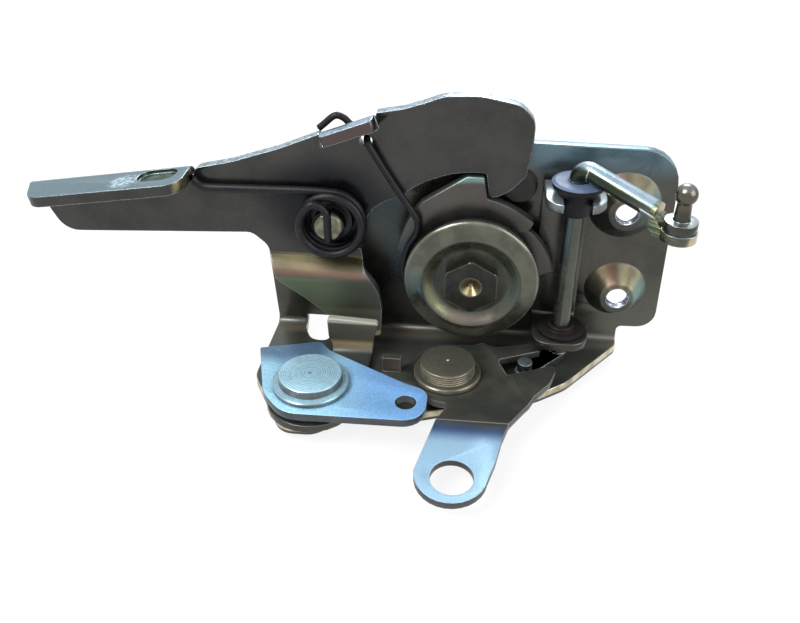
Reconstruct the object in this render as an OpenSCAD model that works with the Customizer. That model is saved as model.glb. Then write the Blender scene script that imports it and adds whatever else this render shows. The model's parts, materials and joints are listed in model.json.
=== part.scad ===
// Car door lock: an L-shaped pressed steel base with a ratchet, a pawl lever and two floor levers.
// Millimetres. X runs along the lock to the right, Z is up, and -Y is the mechanism side.
// The origin lies on the rotor axis, in the outer face of the base wall that meets the door.
// "Front" distances are measured from that face towards the mechanism side.

/* [Base plate] */
// Thickness of the base steel
plate_t = 2.5; // [2.2:0.1:2.7]
// Inner radius of the bend between wall and floor
bend_r = 1.6; // [1:0.1:2]
// Left edge of the base, left of the rotor axis
base_left = 47.2; // [46.5:0.1:52]
// Right edge of the wall
wall_right = 43.4; // [42:0.1:48]
// Top edge of the wall above the rotor axis
wall_top = 28.5; // [28:0.1:33]
// Upper face of the floor below the rotor axis
floor_drop = 20.3; // [20.2:0.1:21]
// Right edge of the floor
floor_right = 35.2; // [34:0.1:36]
// Front edge of the floor at the left lobe
floor_reach = 41.2; // [41:0.1:44]
// Wall height of the window at the bend
window_h = 2; // [1.6:0.1:4]
// Width of the window at the bend
window_w = 6.4; // [5:0.1:8]

/* [Fixing holes] */
// Right distance of the upper fixing hole
fix_x = 32.5; // [32:0.1:34]
// Height of the upper fixing hole
fix_z = 15.7; // [14.5:0.1:16]
// Spacing of the two fixing holes
fix_pitch = 21.4; // [20:0.1:22]
// Core diameter of the tapped hole
fix_bore = 5.2; // [4.2:0.1:5.6]
// Outer radius of the lower pressed cone
cone_r = 6.9; // [6.4:0.1:7.2]
// Height of the pressed cone
cone_h = 4.6; // [3.6:0.1:5]

/* [Rotor] */
// Diameter of the rotor journal in its bush
journal_d = 12; // [10.5:0.1:12.5]
// Width across flats of the rotor shaft
hex_af = 11.4; // [10.5:0.1:11.4]
// Thickness of the ratchet cam
cam_t = 2.8; // [2:0.1:3]
// Tip radius of the stop tooth of the cam
stop_r = 23.1; // [22:0.1:23.2]
// Radius of the two latching teeth
latch_r = 18.2; // [17.5:0.1:18.2]
// Depth of the two latching steps
latch_step = 2.1; // [1.5:0.1:2.5]
// Diameter of the dished disc
disc_d = 30.1; // [29:0.1:31]
// Thickness of the dished disc
disc_t = 1.4; // [1:0.1:1.6]
// Distance by which the hexagon stands out of the dish
hex_out = 2.6; // [1.5:0.1:3]
// Thickness of the outer claw
claw_t = 5; // [3:0.1:7]
// Outer radius of the claw
claw_r = 21; // [18:0.1:24]
// Width of the claw mouth
claw_mouth = 9; // [7:0.1:10]

/* [Pawl lever] */
// Left distance of the pawl pivot
pawl_x = 31.8; // [31:0.1:32.5]
// Height of the pawl pivot
pawl_z = 11.6; // [11:0.1:12.2]
// Thickness of the pawl steel
pawl_t = 2.5; // [2:0.1:2.8]
// Diameter of the pawl journal on its post
pawl_bore = 9; // [8:0.1:9.6]
// Distance by which the strap is set forward
strap_step = 3.5; // [3:0.1:3.8]
// Left end of the pawl flange
flange_left = 100.4; // [98:0.1:110]
// Depth of the pawl flange from its back face
flange_depth = 11.6; // [9:0.1:13]
// Slope of the pawl flange, degrees
flange_slope = 8.5; // [7.5:0.1:10]

/* [Release levers] */
// Left distance of the release rivet
release_x = 32.9; // [32.5:0.1:33.5]
// Front distance of the release rivet
release_y = 33.6; // [33:0.1:34]
// Bearing diameter of the release rivet
release_bore = 10; // [8:0.1:11]
// Thickness of the release follower
follower_t = 1.8; // [1.5:0.1:2]
// Thickness of the release lever
release_t = 1.9; // [1.5:0.1:2.4]
// Thickness of the spacer between the two levers
release_spacer_t = 1.25; // [1:0.05:2]
// Height of the follower tab above its own plate
follower_tab_h = 8.6; // [8:0.1:10]
// Diameter of the rod hole in the release lever
release_hole = 4.4; // [3:0.1:5]

/* [Lock lever] */
// Left distance of the lock rivet
lock_x = 4.1; // [3.8:0.1:4.4]
// Front distance of the lock rivet
lock_y = 24.3; // [24:0.1:25]
// Bearing diameter of the lock rivet
lock_bore = 9; // [7:0.1:10]
// Thickness of the lock lever
lock_t = 1.6; // [1.4:0.1:1.8]
// Thickness of the spacer under the lock lever
lock_spacer_t = 1.4; // [1.3:0.05:1.5]
// Diameter of the hole in the ring end
ring_hole = 8.6; // [7:0.1:9.6]
// Outer radius of the ring end
ring_r = 7.3; // [6.8:0.1:8]
// Downward bend of the ring end, degrees
ring_bend = 5; // [0:0.5:7]

/* [Lock shaft] */
// Right distance of the lock shaft
shaft_x = 20.9; // [20.5:0.1:21.2]
// Front distance of the lock shaft
shaft_y = 11; // [10.8:0.1:11.5]
// Diameter of the lock shaft
shaft_d = 4; // [3:0.1:4.2]
// Thickness of the bracket steel
bracket_t = 2; // [1.6:0.1:2.2]
// Top of the upper ear above the rotor axis
ear_top = 22; // [21:0.1:22.5]
// Underside of the lower ear below the rotor axis
ear_bottom = 14.5; // [14:0.1:15]
// Length of the upper arm of the shaft
arm_len = 19; // [15:0.1:22]
// Diameter of the ball
ball_d = 4.3; // [4:0.1:6]
// Length of the crank from the shaft to its pin
crank_len = 11.8; // [11.4:0.1:12.2]
// Diameter of the crank pin
pin_d = 3.3; // [2.5:0.1:3.6]

/* [Springs] */
// Wire diameter of the pawl spring
pawl_wire = 2; // [1.6:0.1:2.2]
// Wire diameter of the rotor spring
rotor_wire = 1.5; // [1.2:0.1:1.6]

/* [Fits] */
// Radial running clearance of pins and journals
run_fit = 0.05; // [0.02:0.01:0.1]
// Gap between sliding flat faces
slide_gap = 0.15; // [0.1:0.05:0.2]
// Gap between parts that pass each other
pass_gap = 0.4; // [0.3:0.05:0.45]

/* [Hidden] */
eps = 0.01;
big = 200;

// Front distances of the layers on the wall
layer_back = plate_t + bracket_t + pass_gap;          // back of cam and pawl
cam_front = layer_back + cam_t;
spacer_front = cam_front + rotor_wire + 1.8;
dish_front = spacer_front + disc_t;
lip_front = dish_front + 1.6;                          // crest of the disc round its dish
rim_front = dish_front + 0.3;                          // outer rim of the disc
hex_front = dish_front + hex_out;
pawl_front = layer_back + pawl_t;
strap_front = pawl_front + strap_step;
collar_front = pawl_front + slide_gap + 1.4;
post_front = collar_front + 3.5;

// Heights of the layers on the floor
floor_z = -floor_drop;
follower_z = floor_z + slide_gap;
release_spacer_z = follower_z + follower_t + slide_gap;
release_z = release_spacer_z + release_spacer_t + slide_gap;
release_top = release_z + release_t;
lock_spacer_z = floor_z;
lock_z = lock_spacer_z + lock_spacer_t + slide_gap;
lock_top = lock_z + lock_t;
fork_lift = 1;                                         // set-up of the fork above the lever
crank_t = lock_z + fork_lift - floor_z - 2 * 0.3;

release_at = [-release_x, -release_y];
lock_at = [-lock_x, -lock_y];
shaft_at = [shaft_x, -shaft_y];
crank_dir = 228.5;                                     // direction of the crank, degrees
pin_at = shaft_at + crank_len * [cos(crank_dir), sin(crank_dir)];
pawl_at = [-pawl_x, pawl_z];
cone_more = 0.9;                                       // added radius of the upper cone
fix_holes = [[fix_x, fix_z, cone_r + cone_more], [fix_x + 0.8, fix_z - fix_pitch, cone_r]];
buffer_at = [9.3, 19.4];
buffer_r = 4;
zinc = [0.72, 0.75, 0.76];
dull = [0.52, 0.52, 0.5];
blued = [0.16, 0.15, 0.17];
nylon = [0.42, 0.38, 0.4];

// Unit vector and the points of a fillet of radius r at corner q between p and s
function unit(v) = v / norm(v);
function fillet(p, q, s, r) =
    r == 0 ? [q] :
    let (u = unit(p - q), v = unit(s - q), half = acos(max(-1, min(1, u * v))) / 2,
         reach = min(r / tan(half), 0.49 * min(norm(p - q), norm(s - q))), rr = reach * tan(half),
         c = q + unit(u + v) * rr / sin(half), a = q + u * reach - c, b = q + v * reach - c,
         start = atan2(a[1], a[0]), turn = atan2(a[0] * b[1] - a[1] * b[0], a * b),
         n = max(2, ceil(abs(turn) / 15)))
    [for (i = [0:n]) c + rr * [cos(start + turn * i / n), sin(start + turn * i / n)]];
// Outline with its corners rounded; each corner is [x, y, radius]
function rounded(pts) =
    [for (i = [0:len(pts) - 1])
        let (n = len(pts), p = pts[(i + n - 1) % n], q = pts[i], s = pts[(i + 1) % n])
        each fillet([p[0], p[1]], [q[0], q[1]], [s[0], s[1]], q[2])];
function arc(c, r, from, to, n) =
    [for (i = [0:n]) let (a = from + (to - from) * i / n) [c[0] + r * cos(a), c[1] + r * sin(a), 0]];

// A sheet parallel to the wall, from an outline in X and Z
module facing(back, t) translate([0, -back, 0]) rotate([90, 0, 0]) linear_extrude(t) children();
// A sheet parallel to the floor, from an outline in X and Y
module lying(bottom, t) translate([0, 0, bottom]) linear_extrude(t) children();
// A bar along X, from a section in Y and Z
module along_x(from, length) translate([from, 0, 0]) rotate([90, 0, 90]) linear_extrude(length) children();
// A turned piece or hole square to the wall at [x, z]
module turned(at, back, t, r1, r2 = -1)
    translate([at[0], -back, at[1]]) rotate([90, 0, 0])
        cylinder(h = t, r1 = r1, r2 = r2 < 0 ? r1 : r2, $fn = 64);
// A turned piece or hole square to the floor at [x, y]
module upright(at, bottom, t, r1, r2 = -1)
    translate([at[0], at[1], bottom]) cylinder(h = t, r1 = r1, r2 = r2 < 0 ? r1 : r2, $fn = 64);
// Quarter of a bent sheet about [y, z], turned by quarter turns from the +Y and +Z quadrant
module quarter_bend(at, inner, t, turn, from, length)
    along_x(from, length) translate(at) rotate(turn) intersection() {
        difference() {
            circle(r = inner + t, $fn = 64);
            circle(r = inner, $fn = 64);
        }
        square(inner + t + 1);
    }
module hex_bore(back, t, af) facing(back, t) rotate(30) circle(r = af / sqrt(3), $fn = 6);

// Round wire carried along a list of points; each point is [x, y, z, radius]
function wire_point(path, i) = [path[i][0], path[i][1], path[i][2]];
function wire_dir(path, i) =
    unit(wire_point(path, min(i + 1, len(path) - 1)) - wire_point(path, max(i - 1, 0)));
module wire(path, sides = 10) {
    rings = [for (i = [0:len(path) - 1])
        let (d = wire_dir(path, i), n = unit(cross(d, [0, 1, 0])), b = cross(n, d))
        for (k = [0:sides - 1])
            wire_point(path, i) + path[i][3] * (n * cos(360 * k / sides) + b * sin(360 * k / sides))];
    last = (len(path) - 1) * sides;
    polyhedron(points = rings, faces = concat(
        [[for (k = [0:sides - 1]) k]],
        [[for (k = [sides - 1:-1:0]) last + k]],
        [for (i = [0:len(path) - 2], k = [0:sides - 1])
            let (a = i * sides + k, b = i * sides + (k + 1) % sides)
            [a, a + sides, b + sides, b]]));
}

wall_outline = rounded([
    [-base_left, floor_z + bend_r, 0], [-base_left - 1.3, 5, 8], [-base_left + 2, 18, 7],
    [-36, 24.5, 9], [-11, wall_top + 1, 14], [wall_right - 0.5, wall_top, 8],
    [wall_right + 0.4, -16.2, 6], [floor_right, -16.4, 1.4], [floor_right, floor_z + bend_r, 0],
]);
floor_outline = rounded([
    [floor_right, -plate_t - bend_r, 0], [floor_right - 0.4, -plate_t - bend_r - 1, 2],
    [floor_right - 12.6, -20.6, 12], [15, -26.2, 12], [0, -31, 14], [-11, -35, 10], [-24, -35, 5],
    [-31.4, -floor_reach, 5], [-38.6, -floor_reach, 4.5], [-base_left - 0.6, -25, 6],
    [-base_left, -plate_t - bend_r, 0],
]);

// Pressed base: wall, floor and the bend between them
module base_plate() {
    wall_cone_back = 1.1;                              // outer cone wall, measured along the sheet
    color(zinc) difference() {
        union() {
            facing(0, plate_t) polygon(wall_outline);
            lying(floor_z - plate_t, plate_t) polygon(floor_outline);
            quarter_bend([-plate_t - bend_r, floor_z + bend_r], bend_r, plate_t, -90,
                         -base_left, base_left + floor_right);
            for (h = fix_holes) turned(h, plate_t - eps, cone_h + eps, h[2], fix_bore / 2 + 1.3);
        }
        for (h = fix_holes) {
            turned(h, -eps, cone_h + eps, h[2] - wall_cone_back, fix_bore / 2 + 0.5);
            turned(h, 0, plate_t + cone_h + eps, fix_bore / 2);
        }
        turned([0, 0], -eps, plate_t + 2 * eps, journal_d / 2 + 2.5);
        turned(pawl_at, -eps, plate_t + 2 * eps, 4);
        turned(buffer_at, -eps, plate_t + 2 * eps, 2.5);
        upright(release_at, floor_z - plate_t - eps, plate_t + 2 * eps, release_bore / 2 - 1);
        upright(lock_at, floor_z - plate_t - eps, plate_t + 2 * eps, lock_bore / 2 - 1);
        lying(floor_z - plate_t - 1, plate_t + window_h + 1) polygon(rounded([
            [-base_left + 7.2, 1, 0], [-base_left + 7.2, -plate_t - 2.4, 2],
            [-base_left + 9.4, -plate_t - 7.4, 3], [-base_left + 7.2 + window_w, -plate_t - 7.4, 1.5],
            [-base_left + 7.2 + window_w, 1, 0],
        ]));
    }
}

// Rubber button plugged into the wall behind the pawl nose
module stop_buffer() color(blued) {
    turned(buffer_at, plate_t, bracket_t - 0.3, buffer_r, buffer_r - 0.6);
    turned(buffer_at, -eps, plate_t + 2 * eps, 2.4);
    turned(buffer_at, -0.9, 0.9, 3, 3.4);
}

// Flanged bush of the rotor, pressed into the wall from outside
module rotor_bush() color(dull) difference() {
    union() {
        turned([0, 0], 0, plate_t, journal_d / 2 + 2.47);
        turned([0, 0], -1, 1, journal_d / 2 + 5.5);
    }
    turned([0, 0], -1 - eps, plate_t + 1 + 2 * eps, journal_d / 2 + run_fit);
}

claw_back = -1 - slide_gap - claw_t;                   // outer face of the claw
// Rotor shaft: journal, shoulder, hexagon for cam and disc, hexagon and riveted head for the claw
module rotor_shaft() {
    claw_af = 0.84 * hex_af;
    color(dull) difference() {
        union() {
            turned([0, 0], claw_back + claw_t, plate_t + slide_gap - claw_back - claw_t, journal_d / 2);
            turned([0, 0], plate_t + slide_gap, layer_back - plate_t - slide_gap, journal_d / 2 + 2);
            hex_bore(layer_back - eps, hex_front - layer_back + eps, hex_af);
            hex_bore(claw_back - eps, claw_t + 2 * eps, claw_af);
            turned([0, 0], claw_back - 1.4, 1.4, 5.4, 7);
        }
        turned([0, 0], hex_front - 1.9, 1.9 + eps, 0.4, 2.2);
    }
}

// Forked claw on the outer end of the shaft, which holds the striker
module rotor_claw() {
    side = claw_mouth / 2;
    color(zinc) difference() {
        facing(claw_back, claw_t) rotate(-39.5) polygon(rounded([
            [10.5, side, side - 0.1], [claw_r - 0.8, side, 1.5], [0.85 * claw_r, 0.55 * claw_r, 4],
            [0.6 * claw_r, 0.8 * claw_r, 6], [-8, 10, 9], [-8, -10, 9],
            [0.6 * claw_r, -0.8 * claw_r, 6], [0.85 * claw_r, -0.55 * claw_r, 4],
            [claw_r - 0.8, -side, 1.5], [10.5, -side, side - 0.1],
        ]));
        hex_bore(claw_back - eps, claw_t + 2 * eps, 0.84 * hex_af + 0.06);
    }
}

root_r = latch_r - latch_step;
// Radius of the cam at angle a, seen from the mechanism side
function cam_r(a) =
    a < 2 ? 15.2 :
    a < 43 ? latch_r - (latch_r - root_r) * (a - 4) / 39 :
    a < 82 ? latch_r - 0.3 * sin(180 * (a - 44) / 38) :
    a < 95 ? stop_r :
    a < 126 ? stop_r - (stop_r - 20.2) * (a - 95) / 30 :
    a < 151 ? 20.2 - 2 * (a - 125) / 25 :
    a < 166 ? 18.2 - 0.6 * (a - 150) / 15 :
    17.6 - 2.4 * min(1, (a - 165) / 10);
cam_angles = concat([2.01, 4], [for (a = [10:6:42]) a], [42.5], [44.5], [for (a = [50:6:80]) a],
    [81.9], [86], [95], [for (a = [125:5:180]) a], [for (a = [190:12:358]) a]);
// Ratchet cam with its stop tooth and two latching teeth
module ratchet_cam() color(dull) difference() {
    facing(layer_back, cam_t) polygon([for (a = cam_angles) cam_r(a) * [cos(a), sin(a)]]);
    hex_bore(layer_back - eps, cam_t + 2 * eps, hex_af + 0.06);
}

// Spacer on the hexagon between cam and disc
module rotor_spacer() color(dull) difference() {
    turned([0, 0], cam_front, spacer_front - cam_front, 7.6);
    hex_bore(cam_front - eps, spacer_front - cam_front + 2 * eps, hex_af + 0.06);
}

// Dished disc that covers the rotor spring
module dished_disc() {
    rim = disc_d / 2;
    dish = 8.5;                                        // radius of the flat bottom of the dish
    lip = 10.9;                                        // radius of the crest round the dish
    color(zinc) difference() {
        rotate([90, 0, 0]) rotate_extrude($fn = 96) polygon([
            [2, spacer_front], [dish + 0.5, spacer_front], [lip + 0.2, lip_front - disc_t],
            [rim - 0.3, rim_front - disc_t], [rim, rim_front - disc_t + 0.3],
            [rim, rim_front - 0.4], [rim - 0.4, rim_front], [lip + 0.8, lip_front - 0.15],
            [lip + 0.1, lip_front], [lip - 0.4, lip_front - 0.1], [dish, dish_front + 0.1],
            [dish - 0.4, dish_front], [2, dish_front],
        ]);
        hex_bore(spacer_front - eps, disc_t + 2 * eps, hex_af + 0.06);
    }
}

spring_y = -(cam_front + rotor_wire / 2 + 0.25);
spring_hole = [-23.6, 30.2];                           // hole in the pawl lever for the wire
// Path of the rotor spring: hook behind the lever, leg across it, then two coils behind the disc
function rotor_spring_path() =
    let (r = rotor_wire / 2, back = -(layer_back - r - 0.25), front = -(pawl_front + r + 0.25),
         h = spring_hole, turns = 1.75)
    concat(
        [[-34.2, back, 31.2, r], [-32.6, back, 32.6, r], [-31.2, back, 33.8, r],
         [-30, back, 34.2, r], [-28.6, back, 33.6, r], [-27.2, back, 32.3, r],
         [h[0] - 1.1, back, h[1] + 1.3, r], [h[0] - 0.2, back - 0.9, h[1] + 0.2, r],
         [h[0], (back + front) / 2, h[1], r], [h[0] + 0.2, front + 0.8, h[1] - 0.2, r],
         [h[0] + 1.2, front - 0.1, h[1] - 1.5, r], [-17.6, spring_y + 0.2, 20.8, r],
         [-12.9, spring_y, 13.6, r], [-12.4, spring_y, 11.9, r]],
        [for (i = [0:3]) let (a = 143 + i * 14, q = 15.7 - i * 0.1)
            [q * cos(a), spring_y - 0.1 * i, q * sin(a), r]],
        [for (i = [0:40]) let (t = i / 40, a = 200 + 360 * turns * t, q = 14.4 - 4.4 * t * t)
            [q * cos(a), spring_y - 0.3 - 1.2 * min(1, 1.4 * t), q * sin(a), r]]);
module rotor_spring() color(blued) wire(rotor_spring_path());

// Shouldered post of the pawl: collar, slotted head, journal and riveted tail
module pawl_post() {
    r = pawl_bore / 2;
    slot_w = pawl_wire / 2 + 0.4;
    color(zinc) difference() {
        union() {
            turned(pawl_at, -1.2, 1.2, 4.2, 5.4);
            turned(pawl_at, -eps, plate_t + 2 * eps, 3.97);
            turned(pawl_at, plate_t, pawl_front + slide_gap - plate_t, r);
            turned(pawl_at, pawl_front + slide_gap, collar_front - pawl_front - slide_gap, r + 0.5);
            turned(pawl_at, collar_front - eps, post_front - collar_front - 0.7, 3.5);
            turned(pawl_at, post_front - 0.7 - 2 * eps, 0.7, 3.5, 2.9);
        }
        translate([-pawl_x - slot_w / 2, -post_front - 1, pawl_z - 5]) cube([slot_w, 4.2, 10]);
    }
}

// Spacer ring between the wall and the pawl lever
module pawl_spacer() color(dull) difference() {
    turned(pawl_at, plate_t, layer_back - slide_gap - plate_t, 6.5);
    turned(pawl_at, plate_t - eps, layer_back - plate_t, pawl_bore / 2 + run_fit);
}

flange_z = 22.7;                                       // top of the flange at its right end
flange_end = 62.6;                                     // right end of the flange line
flange_run = (flange_left - flange_end) / cos(flange_slope);
function flange_top(x) = flange_z + (x + flange_end) * tan(flange_slope);
end_r = 2.4;                                           // rounding of the flange's left end at its bend
tab_slope = 20.6;
tab_at = [-33.2, 31.8];                                // left end of the spring tab, top face
tab_len = 12;
cut_r = stop_r + 0.9;                                  // arched edge that clears the stop tooth
strap_left = -29.6;                                    // edge that the follower pushes
strap_foot = floor_z + 2.9;
pawl_outline = rounded(concat(
    [[-flange_left + 2, flange_top(-flange_left + 2) - 3.1, 0.5],
     [-flange_left + 2.6, flange_top(-flange_left + 2) - 6, 2], [-flange_left + 5.5, 4.9, 7],
     [-66, 6.3, 20], [-50.4, 6.9, 3], [-47.2, 4, 3], [-46.4, 1.8, 0], [-25.6, 1.8, 0],
     [-26, 5.6, 5], [-22.8, 14.6, 7], [-15.4, 18.4, 1.2]],
    arc([0, 0], cut_r, 127, 88, 8),
    [[2, 24, 0.6], [2.9, 18.3, 0.7], [4.8, 18.6, 1.5], [7.4, 20.2, 4], [10.4, 23.6, 2],
     [11.3, 31, 12], [11.4, 35.8, 4], [8.4, 39, 5], [0, 40.7, 14], [-7.4, 40.4, 7],
     [-11, 39, 6], [-15.8, 37.4, 10], [-21.4, 36.4, 0.5], [-21.6, 32.4, 0.4],
     [-33.3, 28.2, 0.4], [-33.5, 31.3, 0.4], [-42.8, 27.5, 20], [-53.6, 24, 20],
     [-61.6, 22.2, 2], [-flange_end, flange_top(-flange_end) - 3.1, 0.2]]));
strap_outline = rounded([
    [-47.2, 8, 0], [-46.6, 1.8, 2], [-44.6, -3.4, 3], [-38.6, -7.7, 6], [-33.4, -12, 2.5],
    [strap_left, -13.2, 1.5], [strap_left, strap_foot, 0.6], [-20.7, strap_foot, 0.8],
    [-20.3, -10, 6], [-21.2, -4.6, 6], [-24.8, 0.2, 5], [-25.8, 8, 0],
]);
// Pawl lever: flat plate with nose, sloping flange, spring tab and stepped strap
module pawl_lever() {
    inner = 1.4;                                       // inner radius of its bends
    outer = inner + pawl_t;
    strap_back = strap_front - pawl_t;
    color(zinc) difference() {
        union() {
            facing(layer_back, pawl_t) polygon(pawl_outline);
            intersection() {
                along_x(-60, 60) polygon(rounded([
                    [-layer_back, 4, 0], [-layer_back, 2.9, 3.4], [-strap_back, -0.6, 1.2],
                    [-strap_back, strap_foot, 0], [-strap_front, strap_foot, 0],
                    [-strap_front, -1.6, 3.6], [-pawl_front, 1.9, 1.2], [-pawl_front, 4, 0],
                ]));
                facing(0, 20) polygon(strap_outline);
            }
            translate([-flange_left, -layer_back, flange_top(-flange_left)]) rotate([0, -flange_slope, 0]) {
                flange_in = 0.6;                       // inner radius of its bend
                flange_out = flange_in + pawl_t;
                quarter_bend([-flange_out, -flange_out], flange_in, pawl_t, 0, 0, flange_run);
                lying(-pawl_t, pawl_t) polygon(rounded([
                    [0, -flange_out + eps, 0], [3.2, -flange_depth, 4.2],
                    [flange_run + 0.4, -flange_depth - 0.4, 8.4], [flange_run, -flange_out + eps, 0],
                ]));
            }
            translate([tab_at[0], -layer_back, tab_at[1]]) rotate([0, -tab_slope, 0]) {
                quarter_bend([-0.8 - pawl_t, -0.8 - pawl_t], 0.8, pawl_t, 0, 0, tab_len);
                lying(-pawl_t, pawl_t) polygon(rounded([
                    [0, -0.8 - pawl_t + eps, 0], [0, -5.9, 1], [tab_len, -5.9, 1.4],
                    [tab_len, -0.8 - pawl_t + eps, 0],
                ]));
            }
        }
        translate([-flange_left, -layer_back, flange_top(-flange_left)]) rotate([0, -flange_slope, 0])
            lying(-0.9, 2) polygon(rounded([           // pressed oval at the right end of the flange
                [flange_run - 10.8, -8.7, 2.7], [flange_run - 2.4, -8.7, 2.8],
                [flange_run - 1.8, -2.9, 2.7], [flange_run - 11.2, -2.9, 2.7],
            ]));
        turned(pawl_at, layer_back - eps, pawl_t + 2 * eps, pawl_bore / 2 + run_fit);
        translate([-flange_left, -layer_back, flange_top(-flange_left)]) rotate([0, -flange_slope, 0])
            lying(-2 * pawl_t, 3 * pawl_t) difference() {
                translate([-1, -end_r]) square(end_r + 1);
                translate([end_r, -end_r]) circle(r = end_r, $fn = 48);
            }
        turned(spring_hole, layer_back - eps, pawl_t + 2 * eps, rotor_wire / 2 + 0.6);
    }
}

coil_r = pawl_bore / 2 + 0.5 + pawl_wire / 2 + 0.8;    // mean radius of the pawl spring
coil_shift = 0.5;                                      // its coils lie off the axis, drawn by their load
// Path of the pawl spring: leg under the flange, two coils round the post, tang in the slot
function pawl_spring_path() =
    let (r = pawl_wire / 2, back = -(pawl_front + r + 0.25), pitch = pawl_wire + 0.35,
         c = pawl_at + [coil_shift, 0], front = back - pitch * 1.7, tang = 0.42 * pawl_wire / 2 + 0.3)
    concat(
        [[-62.1, back, 20.2, r], [-60.8, back, 18.9, r], [-58.8, back, 18.3, r],
         [-52, back, 18.4, r], [-44, back, pawl_z + coil_r + 0.1, r], [-37, back, pawl_z + coil_r + 0.2, r]],
        [for (i = [0:38]) let (a = 90 - 18 * i)
            [c[0] + coil_r * cos(a), back - pitch * i / 20 * 0.9, c[1] + coil_r * sin(a), r]],
        [[c[0] - 2.9, front, c[1] + 5.6, 0.95 * r], [c[0] - 1.7, front, c[1] + 5.1, 0.85 * r],
         [pawl_at[0] - 0.5, front, c[1] + 4.4, tang], [pawl_at[0], front, c[1] + 3.4, tang],
         [pawl_at[0], front, c[1], tang], [pawl_at[0], front, c[1] - 3, tang]]);
module pawl_spring() color(blued) wire(pawl_spring_path());

// Stepped floor rivet: shank, bearing, shoulder, turned head and riveted tail
module floor_rivet(at, bore, lever_top, head_r, shoulder_r, head_h) {
    shoulder_z = lever_top + slide_gap;
    tail_r = bore / 2 - 1.03;
    color(zinc) {
        upright(at, floor_z - plate_t - 1.3, 1.3, tail_r + 0.4, tail_r + 1.8);
        upright(at, floor_z - plate_t - eps, plate_t + 2 * eps, tail_r);
        upright(at, floor_z, shoulder_z - floor_z, bore / 2);
        upright(at, shoulder_z - eps, 1.1, shoulder_r);
        upright(at, shoulder_z + 1.1 - 2 * eps, head_h - 1.5, head_r);
        upright(at, shoulder_z + head_h - 0.4 - 3 * eps, 0.4, head_r, head_r - 0.3);
    }
}
module release_rivet() floor_rivet(release_at, release_bore, release_top, 6.85, 8.3, 3);
module lock_rivet() floor_rivet(lock_at, lock_bore, lock_top, 6.05, 7.45, 3.7);

tab_front = 16;                                        // front distance of the follower tab
tab_left = -32.2;
// Release follower: lobe on the rivet, upturned tab, and a finger that pushes the strap
module release_follower() {
    inner = 1.4;
    outer = inner + follower_t;
    foot = follower_z + follower_t;
    back = tab_front - follower_t;
    bend_at = tab_front + inner;
    finger_r = strap_left - 0.6;                       // right side of the finger
    color(zinc) difference() {
        union() {
            lying(follower_z, follower_t) polygon(rounded(concat(
                [[-21.9, -bend_at, 0], [-22.4, -27, 4]],
                [for (a = arc(release_at, 9.8, 10, -215, 16)) a],
                [[tab_left + 0.9, -bend_at, 0]])));
            quarter_bend([-bend_at, foot + inner], inner, follower_t, -90, tab_left + 0.9,
                         -21.9 - tab_left - 0.9);
            facing(back, follower_t) polygon(rounded([
                [tab_left + 0.9, foot + inner, 0], [tab_left, foot + 3.4, 2],
                [tab_left - 0.2, foot + follower_tab_h, 0.9], [-20.2, foot + follower_tab_h - 0.7, 0.9],
                [-21.4, foot + 4.6, 2], [-21.9, foot + inner, 0],
            ]));
            translate([finger_r - follower_t, -back - eps, foot + inner])
                cube([follower_t, back - strap_front + pawl_t + eps, 2.5]);
        }
        upright(release_at, follower_z - eps, follower_t + 2 * eps, release_bore / 2 + run_fit);
    }
}

// Spacer between the two release levers
module release_spacer() color(dull) difference() {
    upright(release_at, release_spacer_z, release_spacer_t, 8.6);
    upright(release_at, release_spacer_z - eps, release_spacer_t + 2 * eps, release_bore / 2 + run_fit);
}

hole_at = [-12.1, -37.5];
// Release lever with the hole for the inside handle rod
module release_lever() color([0.7, 0.82, 0.9]) difference() {
    lying(release_z, release_t) polygon(rounded([
        [-47, -21.7, 0.4], [-33.2, -17.9, 2.2], [-31.6, -20.8, 8], [-12.6, -31.4, 4],
        [hole_at[0] + 4.5, hole_at[1] + 4.4, 4.6], [hole_at[0] + 4.3, hole_at[1] - 5.7, 5],
        [-37.4, -43.5, 7], [-42.6, -37.4, 8],
    ]));
    upright(release_at, release_z - eps, release_t + 2 * eps, release_bore / 2 + run_fit);
    upright(hole_at, release_z - eps, release_t + 2 * eps, release_hole / 2);
}

// Spacer under the lock lever
module lock_spacer() color(dull) difference() {
    upright(lock_at, lock_spacer_z, lock_spacer_t, 7.4);
    upright(lock_at, lock_spacer_z - eps, lock_spacer_t + 2 * eps, lock_bore / 2 + run_fit);
}

lock_tab = -18.6;                                      // left side of the upturned tab
ring_at = [-1.4, -54.6];
ring_line = -39.5;                                     // line across which the ring end is bent
fork_turn = 31;                                        // direction in which the fork is set up
fork_from = 11;                                        // distance of the set-up from the rivet
slot_dir = 24;
slot_w = pin_d + 1.9;
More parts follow.
